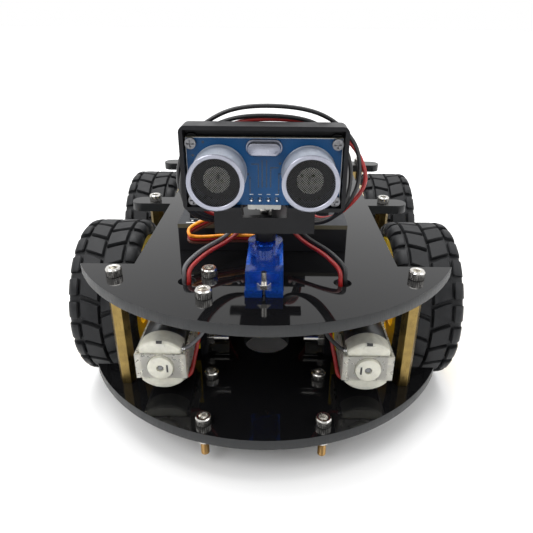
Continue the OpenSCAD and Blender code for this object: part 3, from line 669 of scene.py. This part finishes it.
def motor_cap(side):
    """Nylon end cap with dark patches painted on it for the shade inside its slots, its own Z along the
    motor's axis towards the front; side is the car's side.
    """
    shape = Shape()
    outline = can_outline(7.5, 10.2)
    depth = 6.5
    steps = ((0, 0.0), (depth - 1.2, 0.0), (depth - 0.4, 0.25), (depth, 0.8))
    shape.add(loft([outline_ring(outline, z, inset) for z, inset in steps]))
    shape.add(lathe([(4.5, depth - 0.5), (4.5, depth + 1.5), (4.35, depth + 1.85), (4.0, depth + 2.0),
                     (1.35, depth + 2.0), (1.25, depth + 1.2), (0.3, depth + 1.1)], 40))
    shape.add(box((-1.8, 7.6, depth - 3.2), (1.8, 9.0, depth + 0.25)))
    shape.add(box((-2.6, -9.2, depth - 0.3), (2.6, -8.6, depth + 0.2)))
    # painted shade: a thin dark strip on the bearing boss stands for the shade inside a slot
    slot_x = 2.5 * -side
    shape.add(box((slot_x - 0.32, -1.5, depth + 1.0), (slot_x + 0.32, 1.6, depth + 2.03)), mark=1)
    shape.add(lathe([(1.0, depth + 1.0), (1.0, depth + 1.5), (0.75, depth + 1.7)], 20), mark=2)
    # painted shade: a dark patch beside the tab stands for the shade inside an opening
    shape.add(box((-1.0, 8.95, depth - 2.0), (1.0, 9.9, depth + 0.02)), mark=1)
    return shape


def make_motor_caps():
    for corner, side in CORNERS.items():
        node = "motor_cap_" + corner
        x, _, z = middle(node)
        back = high(node)[1]
        shape = Shape()
        # looking from the front, the place's own X runs to the car's left
        place = Matrix.Translation((x, back, z)) @ Matrix.Rotation(math.radians(90), 4, "X")
        add_marked(shape, motor_cap(side), place)
        # the second finish here is painted shade in the cap's slots
        piece("motor_end_cap_" + corner, shape, "chassis", ["nylon", "epoxy", "can"], replaces=node,
              angle=30)


def make_motor_terminals():
    """Tinned tabs on the inner flat of each cap, with solder on them."""
    shape = Shape()
    for corner, side in CORNERS.items():
        node = "motor_cap_" + corner
        inner = low(node)[0] if side > 0 else high(node)[0]
        back = high(node)[1]
        z = middle(node)[2]
        for dz in (6.0, -6.0):
            outward = -side
            low_x, high_x = sorted((inner, inner + outward * 0.35))
            shape.add(box((low_x, back - 5.6, z + dz - 0.8), (high_x, back - 2.6, z + dz + 0.8)))
            tip = at(inner + outward * 0.5, back - 4.6, z + dz, (outward, 0, 0))
            shape.add(lathe([(0.85, 0), (0.8, 0.35), (0.5, 0.8), (0.12, 0.95)], 16), tip)
    piece("motor_terminals", shape, "chassis", "tin", bevel=0.05)


# ---------- Sensor head ----------

def make_transducers():
    front, back = low("sensor_cans")[1], high("sensor_cans")[1]
    length = back - front
    z = middle("sensor_cans")[2]
    shells = Shape()
    meshes = Shape()
    cones = Shape()
    r = 8.0
    for side in (-1, 1):
        x = side * 13.0
        place = at(x, back, z, (0, -1, 0))
        tube_profile = [
            (r, 0.02), (r, 0.5), (r - 0.22, 0.75), (r - 0.22, length - 0.9), (r - 0.05, length - 0.45),
            (r - 0.05, length - 0.15), (r - 0.3, length), (r - 1.15, length), (r - 1.3, length - 0.15),
            (r - 1.3, length - 1.0), (r - 1.0, length - 1.2), (r - 1.0, 1.2), (0.3, 1.1), (0.3, 0.02)]
        add_marked(shells, ring_marked(tube_profile, {4: 1, 5: 1, 6: 1, 7: 1, 8: 1}), place)
        add_marked(meshes, wire_mesh(6.75, 0.46, 0.16), at(x, front + 0.95, z, (0, -1, 0), 45))
        cone = [(0.6, 5.2), (1.2, 5.6), (3.6, 8.4), (3.75, 8.5), (3.75, 8.2), (1.4, 5.2)]
        cones.add(lathe(cone, 32), place)
        cones.add(lathe([(6.9, 1.3), (6.9, 4.6), (1.2, 4.8), (1.0, 1.3)], 32), place, mark=1)
    piece("transducer_shells", shells, "head", ["aluminium", "rim_metal"],
          replaces="sensor_cans", angle=25)
    piece("transducer_grilles", meshes, "head", "mesh", replaces="sensor_grilles")
    piece("transducer_cones", cones, "head", ["cone", "epoxy"])


def ring_marked(profile, marks):
    """A turned ring whose steps carry their own material numbers."""
    n = 64
    points, faces = lathe(profile, n, wrap=True)
    shape = Shape()
    shape.points = points
    shape.faces = faces
    shape.marks = [marks.get(i // n, 0) for i in range(len(faces))]
    return shape


def wire_mesh(radius, pitch, width):
    """Crossing wires that fill a circle."""
    shape = Shape()
    count = int(radius / pitch)
    for k in range(-count, count + 1):
        p = k * pitch
        half = math.sqrt(radius ** 2 - p ** 2)
        w = width / 2
        shape.add(box((-half, p - w, -0.1), (half, p + w, 0.02)))
        shape.add(box((p - w, -half, -0.02), (p + w, half, 0.1)))
    return shape


def make_crystal():
    """Crystal can: a flange on the board and a rounded cover on it."""
    node = "crystal_can"
    x, _, z = middle(node)
    back = high(node)[1]
    depth = back - low(node)[1]
    half_w = high(node)[0]
    half_h = high(node)[2] - z

    def oval(height, inset):
        points = []
        straight = half_w - half_h
        r = half_h - inset
        for k in range(32):
            a = math.tau * (k + 0.5) / 32
            shift = straight if math.cos(a) > 0 else -straight
            points.append((shift + r * math.cos(a), r * math.sin(a), height))
        return points

    shape = Shape()
    steps = [(0.02, 0.0), (0.45, 0.0), (0.6, 0.12), (0.62, 0.45), (depth - 0.5, 0.5), (depth - 0.15, 0.65),
             (depth, 0.95)]
    shape.add(loft([oval(h, i) for h, i in steps]), at(x, back, z, (0, -1, 0)))
    piece("crystal_cover", shape, "head", "rim_metal", replaces=node, angle=40)


def make_board_details():
    """Copper traces under the mask, solder joints and small parts of the sensor board."""
    front = low("sensor_board")[1]
    z0 = low("sensor_board")[2]
    skin = 0.04
    traces = Shape()

    def strip(x0, z_low, x1, z_high, width=0.35):
        a, b = sorted((x0, x1))
        c, d = sorted((z_low, z_high))
        half = width / 2
        traces.add(box((a - half, front - skin, z0 + c - half), (b + half, front, z0 + d + half)))

    for x, bottom, top in ((-1.7, 5.6, 12.0), (-0.6, 5.6, 13.4), (0.7, 5.6, 13.4), (1.9, 5.6, 11.0)):
        strip(x, bottom, x, top)
    strip(-3.6, 12.4, -1.7, 12.4)
    strip(1.9, 11.4, 4.0, 11.4)
    strip(-4.2, 3.8, -4.2, 8.5, 0.3)
    strip(4.3, 3.8, 4.3, 9.6, 0.3)
    strip(4.3, 9.6, 5.2, 9.6, 0.3)
    for x, z in ((-4.9, 9.4), (4.6, 12.6), (-20.6, 14.8), (20.4, 5.2), (-17.5, 18.6)):
        traces.add(lathe([(0.42, 0.0), (0.42, skin)], 16), at(x, front, z0 + z, (0, -1, 0)))
    piece("board_traces", traces, "head", "trace")

    joints = Shape()
    for x in PIN_XS:
        place = at(x, front, z0 + 1.7, (0, -1, 0))
        joints.add(lathe([(0.72, 0.0), (0.62, 0.18), (0.4, 0.55), (0.32, 0.95), (0.28, 1.1)], 16), place)
    piece("header_joints", joints, "head", "tin", angle=60)

    marks = Shape()
    for x in PIN_XS:
        marks.add(box((x - 0.55, front - skin, z0 + 3.2), (x + 0.55, front, z0 + 3.4)))
    edge = 0.14
    x1, z1 = high("sensor_board")[0], high("sensor_board")[2]
    for a, b in (((-x1, z1 - edge), (x1, z1)), ((-x1, z0), (edge - x1, z1)), ((x1 - edge, z0), (x1, z1))):
        marks.add(box((a[0], front - skin, a[1]), (b[0], front, b[1])))
    piece("board_outline", marks, "head", "silk")

    make_board_chips(z0)


def make_board_chips(z0):
    """Chips and small parts on the sensor board's rear face."""
    back = high("sensor_board")[1]
    parts = Shape()
    for x, z, w, h in ((-9, 12, 8.6, 3.9), (3, 13, 5, 3.9), (12, 11, 8.6, 3.9), (-4, 6.4, 2, 1.2),
                       (0, 6.4, 2, 1.2), (5, 7.6, 1.2, 2), (-14, 6, 2, 1.2), (9, 6, 2, 1.2)):
        thick = 1.5 if w > 4 else 0.6
        parts.add(box((x - w / 2, back, z0 + z - h / 2), (x + w / 2, back + thick, z0 + z + h / 2)))
    piece("board_chips", parts, "head", "epoxy", bevel=0.1)


def make_sensor_plug():
    """Header strip under the board's edge and four single plugs on its pins."""
    _, y0, z0 = low("sensor_header")
    _, y1, z1 = high("sensor_header")
    strip = Shape()
    for x in PIN_XS:
        outline = [(x - 1.27, z0 + 0.35), (x - 0.95, z0), (x + 0.95, z0), (x + 1.27, z0 + 0.35),
                   (x + 1.27, z1 - 0.35), (x + 0.95, z1), (x - 0.95, z1), (x - 1.27, z1 - 0.35)]
        place = Matrix.Rotation(math.radians(90), 4, "X")
        strip.add(prism(outline, -(y0 + 2.5), -y0), place)
    piece("header_strip", strip, "head", "pale", replaces="sensor_header")
    plugs = Shape()
    for x in PIN_XS:
        plugs.add(box((x - 1.2, y0 + 2.55, z0 + 0.1), (x + 1.2, y1, z1 - 0.1)))
        plugs.add(box((x - 0.5, y0 + 8, z1 - 0.12), (x + 0.5, y0 + 11.5, z1 - 0.02)), mark=1)
    piece("wire_plugs", plugs, "head", ["black", "tin"], bevel=0.15)


# ---------- Wires ----------

SERVO_ROUTE = [
    (0, -52.2, 50), (0, -51, 50), (0, -49.8, 50), (0, -46.5, 51.5), (0, -45.6, 55), (0, -45.6, 60),
    (0, -45.6, 65), (-3, -45.8, 68), (-9, -46.8, 69), (-16, -48.5, 69.5), (-23, -51, 70), (-27, -52, 71),
    (-27, -49.5, 73),
    (-22, -46, 74.8), (-17, -42.5, 76), (-14, -40.5, 76.5), (-14, -36.5, 76.5)]
SENSOR_ROUTE = [
    (0, -54, 90.3), (0, -52.6, 90.3), (1, -50.5, 89.8), (1.5, -48.6, 89), (5, -45.8, 84.5), (11, -46.5, 79.5),
    (18, -53, 78.5), (24.5, -60, 84), (28.5, -63.5, 95), (26, -65, 107), (16, -65.5, 115), (2, -65.5, 117.3),
    (-12, -65.5, 115.5), (-23.5, -65, 107.5), (-26.5, -63, 95), (-23, -59, 84), (-15, -52, 78.5),
    (-6, -46.8, 79.5), (2, -43, 84), (8, -35, 90), (12, -22, 94), (14, -8, 93), (12.5, 2, 88.5),
    (12.5, 2.75, 81.6)]
LEAD_ROUTE = [(18.5, -67.5, 48.5), (20.5, -67.8, 53.5), (25, -69, 57.5), (26, -69, 60.5), (26, -69, 63.5),
              (25.5, -67, 67), (21, -60.5, 69.5), (14.5, -53, 71), (10.5, -47, 73), (10, -43, 76),
              (10, -40.5, 76.5), (10, -36.5, 76.5)]


def wire_piece(name, paths, radius, body, material, replaces=(), blend=None):
    shape = Shape()
    for path in paths:
        shape.add(tube(path, radius))
    obj = piece(name, shape, None if blend else body, material, replaces=replaces, angle=60)
    if blend:
        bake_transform(obj)
    return obj


def make_servo_cable():
    """Flat ribbon of three strands, brown lowest."""
    path = smooth(SERVO_ROUTE)
    for k, (colour, side) in enumerate((("orange", 1), ("red", 0), ("brown", -1))):
        strand = []
        for point, _, up in ribbon_frames(path):
            strand.append(point + up * side * 1.15)
        wire_piece("servo_strand_" + colour, [strand], 0.58, "chassis", colour + "_wire",
                   replaces="servo_cable" if k == 0 else ())


def ribbon_frames(path):
    """Like frames, with the up direction kept as near to Z as the path allows."""
    out = []
    for i, point in enumerate(path):
        ahead = (path[min(i + 1, len(path) - 1)] - path[max(i - 1, 0)]).normalized()
        lean = Vector((0.35, 1, 0.2)) if abs(ahead.z) > 0.8 else Vector((0, 0, 1))
        up = (lean - ahead * lean.dot(ahead)).normalized()
        out.append((point, ahead.cross(up), up))
    return out


def sensor_strand(spreads, forward, phase):
    """One wire of the sensor cable: its loop stands off the middle by spreads, on the right, top and left."""
    right, top, left = spreads
    route = []
    last = len(SENSOR_ROUTE) - 1
    for i, p in enumerate(SENSOR_ROUTE):
        v = Vector(p)
        share = max(0.0, min(1.0, (v.z - 84) / 12)) if 5 < i < 17 else 0.0
        level = max(0.0, min(1.0, (v.z - 100) / 12))
        side = right if v.x > 0 else left
        away = Vector((v.x, 0, v.z - 97)).normalized()
        route.append(v + away * (side + (top - side) * level) * share + Vector((0, forward * share, 0)))
    k = (phase - 1.5) * PIN_PITCH
    for i, keep in ((0, 1.0), (1, 0.9), (2, 0.75), (3, 0.55), (last - 1, 0.9), (last, 0.9)):
        route[i].x += k * keep
    route[last].z += 1.0
    for i in range(4, last - 1):
        route[i] += Vector((0.4 * k, 0.25 * k, 0.15 * k))
    return smooth(route, 8)


def make_sensor_cable():
    blend = ((0, -0.024, 0.09), (0, -0.052, 0.09))
    strands = [sensor_strand((-2.6, -4.6, -1.8), -0.4, 0), sensor_strand((-1.2, -1.4, 0.6), 0.8, 1),
               sensor_strand((0.4, 1.0, -0.6), 0.3, 2)]
    wire_piece("sensor_wires", strands, 0.66, None, "black_wire", replaces="sensor_cable",
               blend=blend)
    power = sensor_strand((1.8, -3.2, -1.0), 0.0, 3)
    wire_piece("sensor_power_wire", [power], 0.66, None, "red_wire", blend=blend)


def mirrored(route):
    return [Vector((-x, y, z)) for x, y, z in route]


def front_lead(start, side):
    """One of a front motor's two leads, from its terminal through the upper deck to the controller."""
    shift = Vector((0.8, 0.3, 0.5)) * side
    return smooth(start + [Vector(p) + shift for p in LEAD_ROUTE])


def make_motor_leads():
    """Two leads from each motor, and the switch and battery leads."""
    lower = front_lead([(27.5, -73.3, 26.5), (26.2, -71.5, 27.5), (25.2, -67, 32), (23, -64.5, 40)], -1)
    upper = front_lead([(27.5, -73.3, 38.6), (25.5, -72.6, 39.5), (21.6, -70, 43)], 1)
    rear = [(27.5, 4.7, 26.5), (25.0, 5, 30), (22.0, 4.5, 42), (19.5, 3.6, 52), (16.6, 3.4, 57),
            (15.6, 3.4, 66)]
    rear_upper = [(27.5, 4.7, 38.6), (25.5, 5, 41), (22.8, 5, 47), (20, 4.8, 53), (17.4, 4.8, 58),
                  (17, 4.8, 66)]
    switch = [(32, 26, 50.5), (32, 26, 48.9), (31, 22, 46.5), (26, 15, 46.5), (21, 8, 51), (18.6, 4.5, 57),
              (18.5, 4, 66)]
    battery = [(-10, 42, 68), (-10, 40.5, 68), (-9.5, 37, 68.2), (-6, 31, 71), (1, 26.5, 76.5),
               (3.6, 23.6, 79), (3.6, 21.8, 79.1)]
    battery_black = [(x + 1.5, y, z - 0.2) for x, y, z in battery[:-1]] + [(4.6, 21.8, 79.1)]
    reds = [mirrored(lower), lower, smooth(mirrored(rear)), smooth(rear), smooth(switch)]
    wire_piece("red_leads", reds, 0.75, "chassis", "red_wire", replaces="power_leads")
    wire_piece("grey_lead", [mirrored(upper)], 0.72, "chassis", "grey_wire")
    darks = [upper, smooth(mirrored(rear_upper)), smooth(rear_upper), smooth(battery_black)]
    wire_piece("black_leads", darks, 0.72, "chassis", "black_wire")
    wire_piece("battery_red_lead", [smooth(battery)], 0.75, "chassis", "red_wire")


# ---------- Servo, controller, power ----------

def make_servo_inside():
    """Motor, gears and circuit board that show through the servo's blue case."""
    x0, y0, z0 = low("servo_case")
    x1 = high("servo_case")[0]
    front = y0 + 4.7
    motor = lathe([(3.9, 0), (3.9, 13.5), (3.6, 13.9), (1.2, 13.9), (1.2, 14.6)], 24)
    inside = Shape().add(motor, at(0, front + 6.2, z0 + 2.4))
    piece("servo_motor", inside, "chassis", "can")
    gears = Shape()
    for y, z, r, h in ((6.4, 17.6, 4.2, 1.0), (11.6, 18.9, 3.4, 1.0), (15.2, 17.6, 4.4, 1.1)):
        teeth = 24

        def outline(a, r=r):
            return r if round(a / math.tau * 2 * teeth) % 2 else r - 0.5

        gears.add(loft([ring(outline, 0, 2 * teeth), ring(outline, h, 2 * teeth)]), at(0, front + y, z0 + z))
    piece("servo_gears", gears, "chassis", "pale")
    board = Shape().add(box((x0 + 1.6, front + 12.0, z0 + 1.6), (x1 - 1.6, front + 13.0, z0 + 13)))
    board.add(box((x0 + 3.4, front + 13.0, z0 + 4), (x1 - 3.4, front + 14.2, z0 + 9)), mark=1)
    piece("servo_driver_board", board, "chassis", ["dark_board", "epoxy"])


def socket_strip(x0, y0, x1, y1, z0, z1):
    """Header strip with a square mouth over each pin."""
    shape = Shape()
    shape.add(box((x0, y0, z0), (x1, y1, z1)))
    count = int((x1 - x0) / PIN_PITCH)
    start = (x0 + x1) / 2 - (count - 1) * PIN_PITCH / 2
    for k in range(count):
        x = start + PIN_PITCH * k
        y = (y0 + y1) / 2
        shape.add(box((x - 0.4, y - 0.4, z1 - 0.4), (x + 0.4, y + 0.4, z1 + 0.02)), mark=1)
    return shape


def make_controller_strips(y0, top):
    """Header strips along both long edges."""
    strip_top = high("board_headers")[2]
    front, rear = y0 + 7, y0 + 45
    shape = Shape()
    for start, end, y in ((-29.5, -3.5, front), (0.5, 15.5, front), (-14, -1.5, rear), (9.5, 16.5, rear)):
        add_marked(shape, socket_strip(start, y, end, y + 2.5, top, strip_top), Matrix())
    piece("controller_strips", shape, "chassis", ["black", "epoxy"],
          replaces="board_headers", bevel=0.12)


def make_controller_chips(top):
    """The processor, smaller chips and the reset button's case."""
    chips = Shape()
    chips.add(box((-13.5, -25.5, top + 0.1), (0.5, -11.5, top + 1.3)))
    for x, y, w, d, h in ((12, -24, 6, 4.2, 1.4), (20, -12, 8, 5, 2.2), (-24, -12, 5, 4, 1.5),
                          (22, -30, 4, 4, 1.6), (-27, -30, 3.4, 2, 0.8), (6.5, -8, 3, 1.6, 0.8),
                          (-19, -27, 2, 1.2, 0.7)):
        chips.add(box((x - w / 2, y - d / 2, top), (x + w / 2, y + d / 2, top + h)))
    button_x, button_y, _ = middle("reset_button")
    case = [(square(3.0), 0), (square(3.0), 3.3), (2.0, 3.4), (1.8, 3.3), (1.8, 1.0), (0.4, 1.0)]
    chips.add(lathe(case, 48), at(button_x, button_y, top))
    piece("controller_chips", chips, "chassis", "epoxy", bevel=0.1)


def make_controller_pins(top):
    """Legs on the processor's four sides and six round capacitors."""
    legs = Shape()
    for k in range(11):
        s = -5.0 + k
        x, y = -6.5 + s, -18.5 + s
        for a, b in ((-26.4, -25.5), (-11.5, -10.6)):
            legs.add(box((x - 0.2, a, top), (x + 0.2, b, top + 0.35)))
        for a, b in ((-14.4, -13.5), (0.5, 1.4)):
            legs.add(box((a, y - 0.2, top), (b, y + 0.2, top + 0.35)))
    for x, y in ((12, -29.5), (18, -29.5), (-18, -20), (-22, -20), (8, -13), (24, -18)):
        legs.add(lathe([(1.9, 0), (1.9, 4.6), (1.5, 4.9), (0.4, 4.9)], 24), at(x, y, top))
    piece("controller_pins", legs, "chassis", "tin", angle=30)


def make_controller_marks(x0, y0, top):
    """Plain printed bars on the board."""
    silk = Shape()

    def bar(x_start, y_start, x_end, y_end):
        silk.add(box((x0 + x_start, y0 + y_start, top), (x0 + x_end, y0 + y_end, top + 0.03)))

    for y in (5.2, 10.6, 43.4):
        bar(4, y, 30, y + 0.25)
        bar(34, y, 49, y + 0.25)
    for k in range(10):
        bar(4.6 + PIN_PITCH * k, 3.0, 5.4 + PIN_PITCH * k, 4.2)
    bar(3, 1.0, 31, 1.9)
    piece("controller_marks", silk, "chassis", "silk")


def make_controller():
    x0, y0, _ = low("controller_board")
    top = high("controller_board")[2]
    make_controller_strips(y0, top)
    make_controller_chips(top)
    make_controller_pins(top)
    make_controller_marks(x0, y0, top)


def make_sockets():
    """USB socket with its folded shell and tongue, and the round power socket."""
    x0, y0, z0 = low("board_sockets")
    y1 = high("board_sockets")[1]
    usb = Shape()
    wall = 0.5
    rings = []
    for y, inset in ((y0, 0), (y1 - 0.1, 0), (y1, 0.15), (y1, wall), (y0 + 1, wall)):
        rings.append([(x0 + inset, y, z0 + inset), (x0 + 12 - inset, y, z0 + inset),
                      (x0 + 12 - inset, y, z0 + 10.5 - inset), (x0 + inset, y, z0 + 10.5 - inset)])
    usb.add(loft(rings))
    usb.add(box((x0 + 2.6, y0 + 1, z0 + 3.6), (x0 + 9.4, y1 - 1.5, z0 + 7.2)), mark=1)
    piece("usb_socket", usb, "chassis", ["socket", "black"], replaces="board_sockets",
          bevel=0.15)
    jack = Shape()
    cx, cz = 4.0, z0 + 6.0
    case = [(square(4.5), 0), (square(4.5), 12.9), (3.4, 13.0), (3.1, 12.8), (3.1, 4.0), (0.5, 4.0)]
    jack.add(lathe(case, 48), at(cx, y1 - 13, cz, (0, 1, 0)))
    jack.add(box((cx - 4.5, y1 - 13, z0), (cx + 4.5, y1, z0 + 3)))
    jack.add(lathe([(1.0, 4), (1.0, 10.5), (0.7, 11)], 20), at(cx, y1 - 13, cz, (0, 1, 0)), mark=1)
    piece("power_socket", jack, "chassis", ["black", "tin"], bevel=0.15)
    grip = [(2.7, -6), (2.7, 0.4), (4.0, 0.6), (4.0, 5.5), (3.4, 6.4), (2.0, 9.2), (1.4, 9.4)]
    plug = Shape().add(lathe(grip, 28), at(cx, y1, cz, (0, 1, 0)))
    piece("power_plug", plug, "chassis", "black")


def make_battery():
    """Sleeves, end caps and coil springs of the two cells in their holder."""
    x0, y0, z0 = low("battery_cells")
    _, y1, z1 = high("battery_cells")
    holder_low, holder_high = low("battery_holder"), high("battery_holder")
    r = (z1 - z0) / 2
    cz = (z0 + z1) / 2
    cells = Shape()
    springs = Shape()
    length = 65.2
    for y in (y0 + r, y1 - r):
        start = at(x0, y, cz, (1, 0, 0))
        cells.add(lathe([(r - 1.4, 0.0), (r - 1.2, 0.02), (r - 0.25, 0.1), (r - 0.02, 0.6),
                         (r - 0.02, length - 0.7), (r - 0.3, length - 0.12), (r - 1.6, length)], 56), start)
        cells.add(lathe([(r - 1.3, -0.02), (r - 1.3, 0.05), (0.5, 0.05), (0.5, -0.02)], 40), start, mark=1)
        cells.add(lathe([(3.9, length - 0.2), (3.9, length + 0.25), (3.1, length + 0.4), (2.9, length + 1.45),
                         (2.5, length + 1.6), (0.4, length + 1.6)], 32), start, mark=1)
        coil = []
        reach = x0 - holder_low[0] - 4.1
        for i in range(60):
            a = math.tau * i / 12
            taper = 3.6 - 1.6 * i / 60
            x = holder_low[0] + 4.05 + reach * i / 59
            coil.append(Vector((x, y + taper * math.cos(a), cz + taper * math.sin(a))))
        springs.add(tube(coil, 0.35, 6))
        springs.add(box((holder_high[0] - 4.35, y - 3.5, cz - 4), (holder_high[0] - 4.02, y + 3.5, cz + 4)))
    piece("battery_sleeves", cells, "chassis", ["cell", "tin"], replaces="battery_cells",
          angle=30)
    piece("battery_contacts", springs, "chassis", "tin")


# ---------- Stage ----------

def make_floor():
    mesh = bpy.data.meshes.new("floor")
    size = 12.0
    corners = [(-size, -size, 0), (size, -size, 0), (size, size, 0), (-size, size, 0)]
    mesh.from_pydata(corners, [], [(0, 1, 2, 3)])
    f = Finish("floor_paper", (0.86, 0.86, 0.86), 0.75)
    f.bump(f.noise(1.5, 3), 0.01)
    mesh.materials.append(f.material)
    floor = bpy.data.objects.new("floor", mesh)
    bpy.context.scene.collection.objects.link(floor)


def make_light():
    world = bpy.data.worlds.new("studio")
    bpy.context.scene.world = world
    world.use_nodes = True
    nodes, links = world.node_tree.nodes, world.node_tree.links
    direction = nodes.new("ShaderNodeTexCoord")
    parts = nodes.new("ShaderNodeSeparateXYZ")
    links.new(direction.outputs["Generated"], parts.inputs[0])
    height = nodes.new("ShaderNodeMath")
    height.operation = "MULTIPLY_ADD"
    height.inputs[1].default_value = 0.9
    links.new(parts.outputs["Z"], height.inputs[0])
    links.new(parts.outputs["Y"], height.inputs[2])
    ramp = nodes.new("ShaderNodeMapRange")
    ramp.inputs["From Min"].default_value = -0.9
    ramp.inputs["From Max"].default_value = 0.5
    ramp.inputs["To Min"].default_value = 0.4
    ramp.inputs["To Max"].default_value = 1.0
    links.new(height.outputs[0], ramp.inputs["Value"])
    background = nodes["Background"]
    links.new(ramp.outputs["Result"], background.inputs["Strength"])
    background.inputs["Color"].default_value = (1, 1, 1, 1)
    for name, place, aim, size, power in (("key", (-0.5, -0.5, 0.75), (0, 0, 0.05), 0.5, 4.0),
                                          ("fill", (0.7, -0.35, 0.5), (0, 0, 0.05), 0.6, 1.8),
                                          ("top", (0.0, 0.15, 0.9), (0, 0, 0.05), 0.7, 4.0)):
        light = bpy.data.lights.new(name, "AREA")
        light.size = size
        light.energy = power
        lamp = bpy.data.objects.new(name, light)
        lamp.location = place
        lamp.rotation_euler = (Vector(aim) - Vector(place)).to_track_quat("-Z", "Y").to_euler()
        bpy.context.scene.collection.objects.link(lamp)
    sun = bpy.data.lights.new("sky", "SUN")
    sun.energy = 1.2
    sun.angle = math.radians(50)
    lamp = bpy.data.objects.new("sky", sun)
    lamp.rotation_euler = (math.radians(-20), math.radians(-12), 0)
    bpy.context.scene.collection.objects.link(lamp)


def make_camera():
    scene = bpy.context.scene
    camera = bpy.data.cameras.new("camera")
    camera.sensor_width = 36.0
    camera.lens = 34.02
    camera.shift_x = -0.01486
    camera.shift_y = 0.00244
    camera.clip_start = 0.01
    obj = bpy.data.objects.new("camera", camera)
    pitch, roll, yaw = 25.959, 0.507, 0.287
    turn = (Matrix.Rotation(math.radians(yaw), 4, "Z") @ Matrix.Rotation(math.radians(90 - pitch), 4, "X")
            @ Matrix.Rotation(math.radians(roll), 4, "Z"))
    obj.matrix_world = Matrix.Translation((0.003954, -0.21811, 0.140405)) @ turn
    scene.collection.objects.link(obj)
    scene.camera = obj
    scene.view_settings.view_transform = "Standard"


def dress_cad():
    """Finishes of the CAD nodes that stay as they are."""
    for node, material, bevel in (
            ("lower_deck", "deck", 0.12), ("upper_deck", "deck", 0.12), ("standoffs", "brass", 0.15),
            ("deck_nuts", "nickel", 0.15), ("motor_brackets", "bracket", 0.2),
            ("motor_screws", "nickel", 0.2), ("motor_nuts", "nickel", 0.15),
            ("motor_straps", "strap", 0.15), ("servo_case", "servo", 0.3),
            ("servo_screws", "nickel", 0.0), ("servo_nuts", "nickel", 0.12),
            ("servo_horn", "black", 0.2), ("horn_screw", "nickel", 0.1),
            ("sensor_bracket", "satin", 0.35), ("sensor_board", "blue_board", 0.0),
            ("sensor_screws", "board_screw", 0.1), ("board_tray", "black", 0.4),
            ("controller_board", "dark_board", 0.0), ("reset_button", "red", 0.2),
            ("battery_holder", "black", 0.4), ("switch_body", "black", 0.25),
            ("switch_rocker", "red", 0.2)):
        dress(node, material, bevel)
    for corner in CORNERS:
        dress("gearbox_" + corner, "yellow", 0.5)
        dress("motor_can_" + corner, "can", 0.4)
        dress("drive_shaft_" + corner, "shaft", 0.15)
        dress("wheel_rim_" + corner, "yellow", 0.3)


make_camera()
make_light()
make_floor()
dress_cad()
make_tyres()
make_screws()
make_lock_nuts()
make_motor_caps()
make_motor_terminals()
make_transducers()
make_crystal()
make_board_details()
make_sensor_plug()
make_servo_cable()
make_sensor_cable()
make_motor_leads()
make_servo_inside()
make_controller()
make_sockets()
make_battery()
